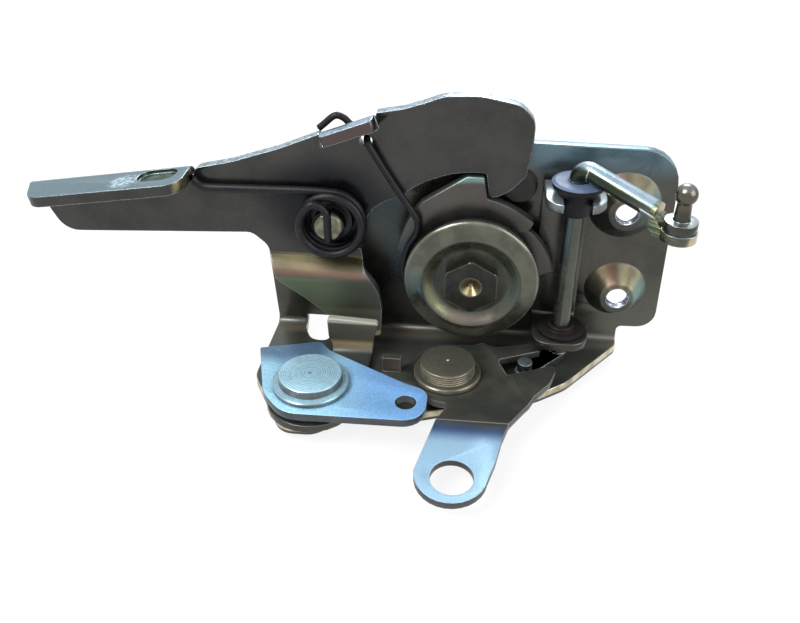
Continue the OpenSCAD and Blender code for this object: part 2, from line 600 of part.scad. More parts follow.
// Lock lever: ring end, hub, upturned tab and open fork for the crank pin
module lock_lever() {
    rise = 1.8;                                        // length of the sloping set-up
    cz = cos(ring_bend);
    color(zinc) difference() {
        union() {
            intersection() {
                lying(lock_z - 1, lock_t + fork_lift + 2) polygon(rounded([
                    [lock_tab, -22.6, 0.6], [lock_tab, -26.8, 1.5], [-11, -29, 6], [-7, -33.8, 5],
                    [-3, -34.2, 1], [-5.6, ring_line, 0], [9.6, ring_line, 0], [13, -34, 8],
                    [18.4, -26.4, 5], [20, -21.6, 2.4], [17.2, -17, 2], [15.6, -11.8, 1],
                    [6.5, -14.6, 3], [3, -12.6, 4], [-9, -13.6, 9], [-13.6, -22.4, 3],
                ]));
                translate([lock_at[0], lock_at[1], 0]) rotate(fork_turn) rotate([90, 0, 0])
                    translate([0, 0, -40]) linear_extrude(80) polygon([
                        [-40, lock_z], [fork_from, lock_z], [fork_from + rise, lock_z + fork_lift],
                        [40, lock_z + fork_lift], [40, lock_top + fork_lift],
                        [fork_from + rise - 0.3, lock_top + fork_lift], [fork_from - 0.3, lock_top],
                        [-40, lock_top],
                    ]);
            }
            intersection() {
                translate([0, ring_line, lock_z]) rotate([ring_bend, 0, 0])
                    translate([-20, -40, 0]) cube([40, 40.06, lock_t]);
                lying(lock_z - 6, 10) polygon(rounded(concat(
                    [[9.6, ring_line + eps, 0], [8.2, -44, 6], [7, -50, 8]],
                    [for (a = arc(ring_at + [-0.25, 0.9], ring_r, -8, -182, 14)) a],
                    [[-5.6, ring_line + eps, 0]])));
            }
            translate([lock_tab, -lock_y - 0.3, lock_z]) cube([4.1, lock_t, lock_t + 3.6]);
        }
        upright(lock_at, lock_z - 1, lock_t + 3, lock_bore / 2 + run_fit);
        translate([0, ring_line, lock_z]) rotate([ring_bend, 0, 0])
            upright([ring_at[0], (ring_at[1] - ring_line) / cz], -1, lock_t + 2, ring_hole / 2);
        translate([pin_at[0], pin_at[1], lock_z - 1]) rotate(slot_dir) linear_extrude(lock_t + fork_lift + 2)
            polygon(rounded([[-5.2, -slot_w / 2, 1], [14, -slot_w / 2, 0], [14, slot_w / 2 + 0.6, 0],
                             [-5.2, slot_w / 2 + 0.6, 1]]));
    }
}

ear_back = plate_t + bracket_t + 1;                    // start of the flat of an ear
ear_left = 6.5;
ear_right = 6.1;
ear_reach = shaft_y + 5.8;
// U-shaped bracket on the wall, with an ear above and below for the lock shaft
module shaft_bracket() {
    web_right = 3.6;
    outer = bracket_t + 1;
    color(zinc) difference() {
        union() {
            translate([shaft_x - ear_left, -plate_t - bracket_t, -ear_bottom + outer])
                cube([ear_left + web_right, bracket_t, ear_top + ear_bottom - 2 * outer]);
            quarter_bend([-ear_back, ear_top - outer], 1, bracket_t, 0, shaft_x - ear_left,
                         ear_left + web_right);
            quarter_bend([-ear_back, -ear_bottom + outer], 1, bracket_t, -90, shaft_x - ear_left,
                         ear_left + web_right);
            for (z = [ear_top - bracket_t, -ear_bottom]) lying(z, bracket_t) polygon(rounded([
                [shaft_x - ear_left, -ear_back, 0], [shaft_x - ear_left, -ear_reach, 4],
                [shaft_x + ear_right, -ear_reach, 5], [shaft_x + ear_right, -ear_back - 2.4, 2],
                [shaft_x + web_right, -ear_back, 0],
            ]));
        }
        upright(shaft_at, -ear_bottom - 1, ear_top + ear_bottom + 2, bush_r + 0.03);
        translate([shaft_x - bush_r + 0.4, -ear_reach - 1, ear_top - bracket_t - 1])
            cube([2 * bush_r - 0.8, ear_reach - shaft_y + 1, bracket_t + 2]);
    }
}

bush_r = 3.3;
shaft_bore = shaft_d / 2 + run_fit;
// Nylon bush in the upper ear
module upper_bush() color(nylon) difference() {
    union() {
        upright(shaft_at, ear_top - bracket_t - 2.3, bracket_t + 2.3 + eps, bush_r);
        upright(shaft_at, ear_top, 1.5, 4);
        upright(shaft_at, ear_top + 1.5 - eps, 1.2, 5.3);
        upright(shaft_at, ear_top + 2.7 - 2 * eps, 0.4, 5.3, 4.9);
    }
    upright(shaft_at, ear_top - 6, 12, shaft_bore);
}
// Nylon bush in the lower ear
module lower_bush() color(nylon) difference() {
    ear = -ear_bottom + bracket_t;
    union() {
        upright(shaft_at, -ear_bottom - 1.1, bracket_t + 1.1 + eps, bush_r);
        upright(shaft_at, ear, 0.9, 5.2);
        upright(shaft_at, ear + 0.9 - eps, 0.3, 5.2, 4.9);
        upright(shaft_at, ear + 1.2 - 2 * eps, 0.9, 3.1);
    }
    upright(shaft_at, -ear_bottom - 2, 8, shaft_bore);
}

arm_dir = -39;
arm_slope = 11;
elbow_r = shaft_d / 2 + 0.45;                          // mean radius of the bend at the top of the shaft
elbow_reach = elbow_r * tan(45 + arm_slope / 2);       // from the corner of the axes to the elbow's ends
arm_z = ear_top + 3.2 + elbow_reach;                   // height at which the axes meet
eye_reach = arm_len * cos(arm_slope) + 4.8;            // level distance of the eye from the shaft
eye_top = arm_z - eye_reach * tan(arm_slope) - 1.1;
eye_t = 2;
stud_hole = 3.4;
module arm_side() translate([shaft_x, -shaft_y, 0]) rotate([0, 0, arm_dir]) children();
// Lock shaft: one rod with a flattened crank below and a bent arm with a level eye above
module lock_shaft() {
    r = shaft_d / 2;
    crank_z = floor_z + 0.3;
    half_w = r + 0.1;                                  // half width of the flattened crank
    elbow_turn = 90 + arm_slope;
    arm_end = arm_len * cos(arm_slope);
    function axis_z(x) = arm_z - x * tan(arm_slope);
    color(zinc) difference() {
        union() {
            upright(shaft_at, crank_z + crank_t / 2, arm_z - elbow_reach - crank_z - crank_t / 2 + eps, r);
            translate([shaft_x, -shaft_y, crank_z]) rotate(crank_dir) linear_extrude(crank_t)
                polygon(rounded([[-half_w, -half_w, half_w], [crank_len + half_w, -half_w, half_w],
                                 [crank_len + half_w, half_w, half_w], [-half_w, half_w, half_w]]));
            upright(pin_at, crank_z + crank_t / 2, lock_top + fork_lift + 0.5 - crank_z - crank_t / 2, pin_d / 2);
            arm_side() {
                translate([elbow_r, 0, arm_z - elbow_reach]) rotate([90, 0, 0]) rotate(180 - elbow_turn)
                    rotate_extrude(angle = elbow_turn, $fn = 64) translate([elbow_r, 0])
                    circle(r = r + eps, $fn = 64);
                translate([0, 0, arm_z]) rotate([0, 90 + arm_slope, 0]) translate([0, 0, elbow_reach - eps])
                    cylinder(h = arm_len - elbow_reach + eps, r = r, $fn = 64);
                translate([0, r + 0.1, 0]) rotate([90, 0, 0]) linear_extrude(2 * r + 0.2) polygon([
                    [arm_end - 3.2, axis_z(arm_end - 3.2) - 0.3], [arm_end + 0.3, axis_z(arm_end) - 0.5],
                    [arm_end + 1.8, eye_top], [eye_reach, eye_top], [eye_reach, eye_top - eye_t],
                    [arm_end + 0.4, eye_top - eye_t], [arm_end - 2.4, axis_z(arm_end - 2.4) - r + 0.3],
                ]);
                translate([eye_reach, 0, eye_top - eye_t]) cylinder(h = eye_t, r = 3.5, $fn = 48);
            }
        }
        arm_side() translate([eye_reach, 0, eye_top - eye_t - 1])
            cylinder(h = eye_t + 2, r = stud_hole / 2 + 0.03, $fn = 48);
    }
}

// Ball stud riveted into the eye of the arm
module ball_stud() {
    collar_t = 2.1;
    neck_h = 5.3;                                        // from the collar to the middle of the ball
    color(zinc) arm_side() translate([eye_reach, 0, eye_top]) {
        translate([0, 0, -eye_t - 0.8]) cylinder(h = 0.8, r1 = 2, r2 = 2.5, $fn = 48);
        translate([0, 0, -eye_t - eps]) cylinder(h = eye_t + 2 * eps, r = stud_hole / 2, $fn = 48);
        cylinder(h = collar_t, r = 3.25, $fn = 48);
        translate([0, 0, collar_t - eps]) cylinder(h = neck_h - 1, r1 = 1.6, r2 = 1.35, $fn = 48);
        translate([0, 0, collar_t + neck_h]) sphere(r = ball_d / 2, $fn = 48);
    }
}

base_plate();
stop_buffer();
rotor_bush();
rotor_shaft();
rotor_claw();
ratchet_cam();
rotor_spacer();
dished_disc();
rotor_spring();
pawl_post();
pawl_spacer();
pawl_lever();
pawl_spring();
release_rivet();
release_follower();
release_spacer();
release_lever();
lock_rivet();
lock_spacer();
lock_lever();
shaft_bracket();
upper_bush();
lower_bush();
lock_shaft();
ball_stud();
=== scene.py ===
"""A car door lock on a plain pale floor: its sheet metal, turned pins, threads, springs and plating."""
import json
import math

import bmesh
import bpy
import numpy as np
from mathutils import Matrix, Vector
from mathutils.kdtree import KDTree

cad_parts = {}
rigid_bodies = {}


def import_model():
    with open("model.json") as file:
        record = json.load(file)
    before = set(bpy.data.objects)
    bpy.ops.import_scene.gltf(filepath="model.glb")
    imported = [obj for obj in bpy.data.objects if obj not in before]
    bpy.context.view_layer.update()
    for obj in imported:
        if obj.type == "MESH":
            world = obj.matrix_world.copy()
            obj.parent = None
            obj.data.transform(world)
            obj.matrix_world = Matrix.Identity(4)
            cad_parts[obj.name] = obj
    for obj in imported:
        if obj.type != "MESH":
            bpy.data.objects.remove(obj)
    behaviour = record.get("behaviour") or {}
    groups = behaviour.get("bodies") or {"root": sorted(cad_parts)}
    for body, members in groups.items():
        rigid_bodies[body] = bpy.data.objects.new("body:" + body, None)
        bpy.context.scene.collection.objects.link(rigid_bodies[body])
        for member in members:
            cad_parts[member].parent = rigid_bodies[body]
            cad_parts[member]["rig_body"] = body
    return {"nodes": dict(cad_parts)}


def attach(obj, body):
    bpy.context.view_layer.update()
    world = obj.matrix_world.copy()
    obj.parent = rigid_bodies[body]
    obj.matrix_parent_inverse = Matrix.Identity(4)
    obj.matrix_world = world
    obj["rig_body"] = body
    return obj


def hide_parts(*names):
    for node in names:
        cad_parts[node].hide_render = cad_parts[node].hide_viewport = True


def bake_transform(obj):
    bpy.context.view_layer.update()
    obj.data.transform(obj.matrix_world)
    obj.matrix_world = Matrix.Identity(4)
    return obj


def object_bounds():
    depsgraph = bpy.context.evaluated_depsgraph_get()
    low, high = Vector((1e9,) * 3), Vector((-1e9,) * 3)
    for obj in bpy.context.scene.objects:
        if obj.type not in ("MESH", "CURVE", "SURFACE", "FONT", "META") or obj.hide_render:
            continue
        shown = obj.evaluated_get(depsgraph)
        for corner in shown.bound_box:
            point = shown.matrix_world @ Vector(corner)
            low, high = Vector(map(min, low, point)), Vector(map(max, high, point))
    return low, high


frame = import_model()
cad_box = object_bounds()
MM = 0.001

# Sizes of the source that are used again here, in millimetres
SHEET = 2.5
FLOOR = -20.3
CONE_LIP = 7.1


# Viewpoint
# The lock is seen from a little right of its front and from well above, at a hand's distance.
# The lens is fitted to the pins, the disc and the edges of the base in the picture.
def place_camera(azimuth, elevation, spot, lens):
    """A camera at spot that looks down the line given by azimuth and elevation, upright."""
    a, e = math.radians(azimuth), math.radians(elevation)
    back = np.array([math.sin(a) * math.cos(e), -math.cos(a) * math.cos(e), math.sin(e)])
    right = np.array([math.cos(a), math.sin(a), 0.0])
    up = np.cross(back, right)
    data = bpy.data.cameras.new("viewpoint")
    data.lens = lens
    data.sensor_width = 36
    data.clip_start = 0.01
    eye = bpy.data.objects.new("viewpoint", data)
    bpy.context.scene.collection.objects.link(eye)
    rows = [[right[i], up[i], back[i], spot[i] * MM] for i in range(3)]
    eye.matrix_world = Matrix(rows + [[0, 0, 0, 1]])
    bpy.context.scene.camera = eye


place_camera(6, 34, (1.055, -173.684, 100.264), 38.25)


# Pressed base plate
# An L of 2.5 mm steel sheet, pressed and then plated with zinc and a yellowish passivation.
# Its wall carries two drawn cones, which are tapped for the screws that hold the lock in the door.
def edge_marks(mesh, apart):
    """A search tree of points along every edge of a mesh, no farther than apart millimetres."""
    marks = []
    for edge in mesh.edges:
        ends = np.array([corner.co for corner in edge.verts])
        share = np.linspace(0, 1, 2 + int(edge.calc_length() / (apart * MM)))[:, None]
        marks.append(ends[:1] * (1 - share) + ends[1:] * share)
    marks = np.concatenate(marks)
    tree = KDTree(len(marks))
    for number, mark in enumerate(marks):
        tree.insert(mark, number)
    tree.balance()
    return tree


def settle(data, marks, reach):
    """Moves the points that lie farther than reach from every mark back among their neighbours.

    Each goes to the mean of those points it is joined to that lie near a mark or have been moved."""
    points = data.vertices
    stray = {p.index for p in points if marks.find(p.co)[2] > reach}
    joined = {p: [] for p in stray}
    for first, second in (edge.vertices for edge in data.edges):
        if first in stray:
            joined[first].append(second)
        if second in stray:
            joined[second].append(first)
    moved = True
    while moved:
        ready = {p: [q for q in joined[p] if q not in stray] for p in stray}
        moved = {p for p, kept in ready.items() if kept}
        for p in moved:
            points[p].co = np.mean([points[q].co for q in ready[p]], axis=0)
        stray -= moved


def softened(node, width):
    """A copy of a CAD node with its flat faces joined and its sharp edges rounded by width.

    The width shrinks until no flat face is folded over itself where two rounded edges meet. The
    rounding can also throw a point far out where short edges meet, and such points are put back."""
    source = frame["nodes"][node]
    mesh = bmesh.new()
    mesh.from_mesh(source.data)
    bmesh.ops.remove_doubles(mesh, verts=mesh.verts, dist=2e-7)
    bmesh.ops.dissolve_limit(mesh, angle_limit=math.radians(0.6), verts=mesh.verts, edges=mesh.edges)
    marks = edge_marks(mesh, 0.2)
    data = bpy.data.meshes.new(node + "_soft")
    mesh.to_mesh(data)
    mesh.free()
    data.shade_smooth()
    piece = bpy.data.objects.new(node + "_soft", data)
    bpy.context.scene.collection.objects.link(piece)
    rim = piece.modifiers.new("rim", "BEVEL")
    rim.segments = 3
    rim.limit_method = "ANGLE"
    rim.angle_limit = math.radians(36)
    rim.use_clamp_overlap = False
    rim.miter_outer = "MITER_ARC"
    rim.harden_normals = True
    largest_fold = 0.5 * MM * MM
    for share in (1, 0.75, 0.55, 0.4):
        rim.width = width * share * MM
        rounded = piece.evaluated_get(bpy.context.evaluated_depsgraph_get())
        data = bpy.data.meshes.new_from_object(rounded)
        data.calc_loop_triangles()
        folds = [part.area for part in data.loop_triangles
                 if part.normal.dot(data.polygons[part.polygon_index].normal) < 0]
        if max(folds, default=0) < largest_fold:
            break
    piece.data = data
    piece.modifiers.clear()
    settle(data, marks, 2.2 * width * MM)
    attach(piece, source["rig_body"])
    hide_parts(node)
    return piece


class Value:
    """A socket in a finish, on which Python's operators add Math nodes."""

    def __init__(self, finish, socket):
        self.finish = finish
        self.socket = socket

    def math(self, operation, *others):
        """The outcome of one Math node on this value and the others."""
        return self.finish.add("ShaderNodeMath", (self,) + others, operation=operation)

    def __add__(self, other):
        return self.math("ADD", other)

    def __mul__(self, other):
        return self.math("MULTIPLY", other)

    def __sub__(self, other):
        return self.math("SUBTRACT", other)

    def __rsub__(self, other):
        return self.finish.add("ShaderNodeMath", (other, self), operation="SUBTRACT")

    def __truediv__(self, other):
        return self.math("DIVIDE", other)

    def __pow__(self, other):
        return self.math("POWER", other)

    __radd__ = __add__
    __rmul__ = __mul__

    def step(self, low, high):
        """0 below low, 1 above high, and a soft rise between them; falls where low is above high."""
        settings = {"interpolation_type": "SMOOTHSTEP"}
        if low > high:
            return 1 - self.finish.add("ShaderNodeMapRange", (self, high, low, 0, 1), **settings)
        return self.finish.add("ShaderNodeMapRange", (self, low, high, 0, 1), **settings)

    def near(self, middle, reach):
        """1 where the value is middle, falling to 0 at reach on both sides."""
        return (self - middle).math("ABSOLUTE").step(reach, 0)


class Finish:
    """One material, its nodes and the place on the piece in millimetres.

    x, y and z are that place, front is how far it stands out before the wall's back, and facing is
    the direction in which the surface looks."""

    def __init__(self, name, roughness, metallic):
        self.material = bpy.data.materials.new(name)
        self.material.use_nodes = True
        self.tree = self.material.node_tree
        self.shader = self.tree.nodes["Principled BSDF"]
        self.shader.inputs["Roughness"].default_value = roughness
        self.shader.inputs["Metallic"].default_value = metallic
        spot = self.add("ShaderNodeTexCoord", (), out="Object")
        self.spot = self.add("ShaderNodeVectorMath", (spot, (1000, 1000, 1000)), operation="MULTIPLY")
        self.x, self.y, self.z = self.parts(self.spot)
        self.front = self.y * -1
        self.facing = self.add("ShaderNodeNewGeometry", (), out="Normal")

    def add(self, kind, inputs, out=0, **settings):
        """A node of one kind: its settings, then the values or links of its sockets in turn."""
        node = self.tree.nodes.new(kind)
        for name, value in settings.items():
            setattr(node, name, value)
        items = inputs.items() if isinstance(inputs, dict) else enumerate(inputs)
        for key, value in items:
            if isinstance(value, Value):
                self.tree.links.new(value.socket, node.inputs[key])
            elif value is not None:
                node.inputs[key].default_value = value
        return Value(self, node.outputs[out])

    def parts(self, vector):
        """The three values of a vector."""
        node = self.tree.nodes.new("ShaderNodeSeparateXYZ")
        self.tree.links.new(vector.socket, node.inputs[0])
        return [Value(self, s) for s in node.outputs]

    def noise(self, size, detail=3, stretch=(1, 1, 1), roughness=0.55):
        """Cloudy noise from 0 to 1 whose lumps are about size millimetres wide, times stretch."""
        spot = self.add("ShaderNodeVectorMath", (self.spot, tuple(1 / (size * s) for s in stretch)),
                        operation="MULTIPLY")
        return self.add("ShaderNodeTexNoise", {"Vector": spot, "Scale": 1.0, "Detail": detail,
                                               "Roughness": roughness})

    def mix(self, amount, first, second):
        """First colour turning to the second by amount."""
        colours = [c if isinstance(c, Value) else (*c, 1) for c in (first, second)]
        node = self.tree.nodes.new("ShaderNodeMix")
        node.data_type = "RGBA"
        for socket, value in zip([node.inputs[0], node.inputs[6], node.inputs[7]], [amount] + colours):
            if isinstance(value, Value):
                self.tree.links.new(value.socket, socket)
            else:
                socket.default_value = value
        return Value(self, node.outputs[2])

    def put(self, name, value):
        """Links the value to one input of the shader."""
        self.tree.links.new(value.socket, self.shader.inputs[name])

    def relief(self, height, depth):
        """Bump of the given depth in millimetres, from a height between 0 and 1."""
        self.put("Normal", self.add("ShaderNodeBump", {"Strength": 1.0, "Distance": depth * MM,
                                                       "Height": height}))

    def worn_edge(self, reach):
        """1 on outer edges, from how far a rounded normal leans away from the real one."""
        round_normal = self.add("ShaderNodeBevel", {"Radius": reach * MM}, samples=4)
        lean = self.add("ShaderNodeVectorMath", (round_normal, self.facing), out="Value",
                        operation="DOT_PRODUCT")
        return lean.step(0.97, 0.8)

    def give(self, *pieces):
        """Puts the finish on each piece in place of what it had."""
        for piece in pieces:
            piece.data.materials.clear()
            piece.data.materials.append(self.material)


def plated(name, dark, light, sky, roughness=0.3, metallic=0.85, tint=None, dull=None):
    """Zinc plate: clouded between dark and light, with a painted sky reflection where it lies level.

    Height of the relief is fine grain plus long rolling marks. tint(finish) may give a list of
    (mask, colour) pairs, which are laid over the base in turn. dull(finish) may give a mask of the
    parts that are less like a mirror."""
    f = Finish(name, roughness, metallic)
    cloud = f.noise(9, 4).step(0.3, 0.7)
    grain = f.noise(0.35, 2)
    marks = f.noise(0.5, 3, stretch=(14, 1, 1))
    colour = f.mix(cloud * 0.75 + grain * 0.25, dark, light)
    up = f.parts(f.facing)[2]
    level = up.step(0.35, 0.92)
    speckle = f.noise(0.32, 2, roughness=0.7).step(0.36, 0.62)
    # Painted sky reflection: level faces turn paler and bluer, broken by speckles.
    colour = f.mix(level * (0.72 + 0.28 * speckle), colour, sky)
    for mask, shade in tint(f) if tint else []:
        colour = f.mix(mask, colour, shade)
    edge = f.worn_edge(0.35)
    colour = f.mix(edge * (0.5 + 0.5 * f.noise(0.9, 2)), colour, (0.74, 0.8, 0.82))
    f.put("Base Color", colour)
    gloss = roughness + 0.16 * (cloud - 0.5) + 0.14 * (grain - 0.5) + 0.1 * level
    if dull:
        matt = dull(f)
        f.put("Metallic", metallic - 0.45 * matt)
        gloss = gloss + 0.2 * matt
    f.put("Roughness", gloss)
    f.relief(grain * 0.5 + marks * 0.35 + cloud * 0.15, 0.02)
    return f


screw_holes = [(32.5, 15.7, 7.8), (33.3, -5.7, 6.9)]    # x, z and outer radius of each cone
core_hole = 2.6


def base_tints(f):
    """Gold and pink in the bend, a golden front rim, and banded colours round the drawn cones.

    The rim's gold is partly passivation colour and partly a painted highlight, with painted shade
    at its foot. The bands on the cones are passivation colour, brightened on the upper flanks as a
    painted highlight, and the lower flanks and the mouth of each hole carry painted shade.

    turn is the angle round a cone: 0 to the right and a quarter of the circle, 1.57, at the top."""
    bend = f.front.near(5.2, 2.6) * f.z.step(-15.8, -18.4)
    tints = [(bend * 0.8, (0.1, 0.078, 0.052))]
    tints.append((f.z.near(-17.6, 0.9) * bend * 0.5, (0.22, 0.14, 0.115)))
    tints.append((f.x.step(22, 30) * f.z.step(-4, -10) * 0.6, (0.1, 0.1, 0.085)))
    tints.append((f.z.step(20.5, 27.5) * f.x.step(2, 14) * 0.85, (0.115, 0.185, 0.225)))
    # Painted highlight on the golden front rim of the floor, and painted shade at its foot.
    rim = f.z.step(FLOOR + 0.05, FLOOR - 0.2) * f.parts(f.facing)[2].math("ABSOLUTE").step(0.85, 0.6)
    golden = f.mix(f.noise(3, 3).step(0.35, 0.65), (0.34, 0.3, 0.19), (0.62, 0.58, 0.44))
    tints.append((rim * 0.9, golden))
    tints.append((rim * f.z.step(FLOOR - 1.4, FLOOR - 1.8) * 0.9, (0.028, 0.025, 0.022)))
    for x, z, foot in screw_holes:
        dx, dz = f.x - x, f.z - z
        far = (dx * dx + dz * dz) ** 0.5
        turn = dz.math("ARCTAN2", dx)
        flank = far.step(foot + 0.15, foot - 0.4) * f.front.step(SHEET - 0.05, SHEET + 0.3)
        waves = (turn * 9 + f.noise(2.5, 2) * 3).math("SINE") * 0.5 + 0.5
        # Painted highlight: the upper flanks of each cone are brighter gold.
        upper = turn.step(0.15, 0.75) * turn.step(3.1, 2.3)
        bright = (0.27, 0.24, 0.15) if foot < 7 else (0.17, 0.15, 0.095)
        tints.append((flank * upper, f.mix(waves, tuple(c * 0.5 for c in bright), bright)))
        tints.append((flank * turn.near(0.25, 0.8) * 0.9, (0.15, 0.23, 0.21)))
        tints.append((flank * turn.near(1.95, 0.4) * 0.8, (0.2, 0.1, 0.075)))
        tints.append((flank * turn.near(2.9, 0.7) * 0.8, (0.07, 0.065, 0.048)))
        # Painted shade on the lower flanks of the cone.
        tints.append((flank * turn.step(-0.3, -1.1) * 0.75, (0.03, 0.035, 0.03)))
        # Painted shade round the mouth of the hole.
        lip = far.near(3.2, 0.6) * f.front.step(CONE_LIP - 0.5, CONE_LIP - 0.2)
        tints.append((lip * 0.7, (0.05, 0.05, 0.042)))
    return tints


def base_bend(f):
    """The inner side of the bend, and the flanks of the cones in part."""
    bend = f.front.near(5.2, 3) * f.z.step(-13.5, -15.5)
    return bend + f.front.step(SHEET, SHEET + 0.4) * f.z.step(-15, -14) * 0.4


zinc_base = plated("zinc_on_base", (0.05, 0.049, 0.042), (0.08, 0.078, 0.066), (0.12, 0.13, 0.118),
                   0.3, tint=base_tints, dull=base_bend)
base = softened("base_plate", 0.3)
zinc_base.give(base)


# Threads of the fixing holes
# The screws of the lock turn into threads that are tapped in the lips of the two cones.
# Each thread is a thin sleeve with a helical ridge, and it stands just inside the core hole.
def skin(name, grid, body, wrap=False, crease=38):
    """A closed surface through a grid of points in millimetres, whose columns close on themselves.

    Row k and row k + 1 are joined by four-sided faces. The end rows are filled by caps, or with
    wrap joined to each other. With no body named, the piece is not attached to a body."""
    rows, cols = grid.shape[:2]
    index = np.arange(rows * cols).reshape(rows, cols)
    here = index if wrap else index[:-1]
    there = np.roll(index, -1, axis=0) if wrap else index[1:]
    faces = np.stack([here, np.roll(here, -1, axis=1), np.roll(there, -1, axis=1), there], axis=-1)
    faces = faces.reshape(-1, 4).tolist()
    if not wrap:
        faces += [index[0][::-1].tolist(), index[-1].tolist()]
    data = bpy.data.meshes.new(name)
    data.from_pydata((grid * MM).reshape(-1, 3), [], faces)
    mesh = bmesh.new()
    mesh.from_mesh(data)
    bmesh.ops.recalc_face_normals(mesh, faces=mesh.faces)
    mesh.to_mesh(data)
    mesh.free()
    data.shade_smooth()
    data.set_sharp_from_angle(angle=math.radians(crease))
    piece = bpy.data.objects.new(name, data)
    bpy.context.scene.collection.objects.link(piece)
    if body:
        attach(piece, body)
    return piece


def threaded_sleeve(name, at, back, front, core, body):
    """Sleeve square to the wall: its inner radius is the core's minus a saw-tooth of the helix angle.

    The tooth height at depth y and turn u is |2 frac(y / pitch - u / 360) - 1| times the ridge."""
    pitch, ridge = 0.8, 0.3
    depth = np.linspace(back, front, 46)[:, None]
    turn = np.linspace(0, 2 * math.pi, 72, endpoint=False)[None, :]
    tooth = np.abs(2 * ((depth / pitch - turn / (2 * math.pi)) % 1) - 1)
    ends = np.clip(np.minimum(depth - back, front - depth) / 0.5, 0, 1)
    inner = core - 0.02 - ridge * tooth * ends
    outer = np.full((2, 72), core - 0.005)
    radius = np.concatenate([inner, outer])
    depth = np.concatenate([np.broadcast_to(depth, inner.shape), [[front] * 72, [back] * 72]])
    grid = np.stack([at[0] + radius * np.cos(turn), -depth, at[1] + radius * np.sin(turn)], axis=-1)
    return skin(name, grid, body, wrap=True, crease=60)


thread_finish = plated("zinc_in_thread", (0.1, 0.09, 0.11), (0.22, 0.23, 0.32), (0.36, 0.4, 0.52),
                       0.25)
for number, hole in enumerate(screw_holes):
    back, front = CONE_LIP - 2.48, CONE_LIP - 0.02
    thread_finish.give(threaded_sleeve(f"thread_{number + 1}", hole, back, front, core_hole, "base"))


# Bracket of the lock shaft
# A U of 2 mm sheet, spot welded to the wall, whose two ears hold the bushes of the shaft.
def bracket_tints(f):
    """A gold cast where the sheet turns into the ears, the upper ear paler as a painted reflection,
    and painted shade on the lower end.
    """
    bend = f.front.near(6, 1.6)
    # The pale tint on the upper ear is a painted reflection and the dark tint low down painted shade.
    return [(bend * 0.4, (0.2, 0.18, 0.13)), (f.z.step(19.5, 21.5) * 0.35, (0.33, 0.37, 0.4)),
            (f.z.step(-8, -10) * 0.9, (0.05, 0.045, 0.038))]


zinc_bracket = plated("zinc_on_bracket", (0.045, 0.046, 0.04), (0.09, 0.09, 0.08), (0.42, 0.5, 0.52),
                      0.28, tint=bracket_tints)
zinc_bracket.give(softened("shaft_bracket", 0.25))


# Rubber stop
# A black rubber button, plugged into the wall, on which the pawl's nose comes to rest.
def plain(name, colour, roughness, metallic):
    """One colour, clouded by a quarter, with a fine grain in its relief and its gloss."""
    f = Finish(name, roughness, metallic)
    spread = 0.25
    cloud = f.noise(4, 4)
    fine = f.noise(0.4, 3)
    dark = tuple(c * (1 - spread) for c in colour)
    light = tuple(min(1, c * (1 + spread)) for c in colour)
    f.put("Base Color", f.mix(cloud.step(0.3, 0.7), dark, light))
    f.put("Roughness", roughness + 0.2 * (fine - 0.5))
    f.relief(fine, 0.02)
    return f


rubber = plain("black_rubber", (0.02, 0.016, 0.015), 0.7, 0.0)
rubber.give(softened("stop_buffer", 0.2))


# Rotor bush and outer claw
# The bush is a flanged steel ring that is pressed into the wall from outside.
# The claw is thick plated steel on the outer end of the rotor, and its mouth holds the striker bar.
steel = plain("plain_steel", (0.2, 0.19, 0.17), 0.36, 0.85)
steel.give(softened("rotor_bush", 0.2))
zinc_claw = plated("zinc_on_claw", (0.06, 0.058, 0.05), (0.14, 0.135, 0.12), (0.3, 0.32, 0.3), 0.32)
zinc_claw.give(softened("rotor_claw", 0.6))


# Rotor shaft
# One turned steel part: a riveted head behind the claw, a round journal in the bush, a shoulder,
# and a hexagon on which cam and disc sit; a centre hole is drilled in its front end.
def turned(profile, at, upright=False, hexagon=0.0, cols=96):
    """Grid of a surface of revolution about the point at, square to the wall or to the floor.

    profile lists (height, radius, hex share). The radius at turn u is the profile's own, or where
    the share is 1, at most half the width across flats over the cosine of the angle off a flat."""
    rows = np.array([(*p, 0.0)[:3] for p in profile], float)
    turn = np.linspace(0, 2 * math.pi, cols, endpoint=False)[None, :]
    off_flat = (turn + math.pi / 6) % (math.pi / 3) - math.pi / 6
    flat = hexagon / 2 / np.cos(off_flat)
    radius = np.broadcast_to(rows[:, 1:2], (len(rows), cols)).copy()
    radius = np.where(rows[:, 2:3] > 0, np.minimum(radius, flat), radius)
    first, second = radius * np.cos(turn), radius * np.sin(turn)
    height = np.broadcast_to(rows[:, :1], radius.shape)
    if upright:
        return np.stack([at[0] + first, at[1] + second, height], axis=-1)
    return np.stack([at[0] + first, -height, at[1] + second], axis=-1)


def eased(profile, size):
    """The profile with each inner corner cut back by size along both of its sides."""
    p = np.array(profile, float)
    back, ahead = p[:-2] - p[1:-1], p[2:] - p[1:-1]
    back_length = np.linalg.norm(back, axis=1, keepdims=True)
    ahead_length = np.linalg.norm(ahead, axis=1, keepdims=True)
    before = p[1:-1] + back / back_length * np.minimum(size, 0.3 * back_length)
    after = p[1:-1] + ahead / ahead_length * np.minimum(size, 0.3 * ahead_length)
    return np.concatenate([p[:1], np.stack([before, after], axis=1).reshape(-1, 2), p[-1:]])


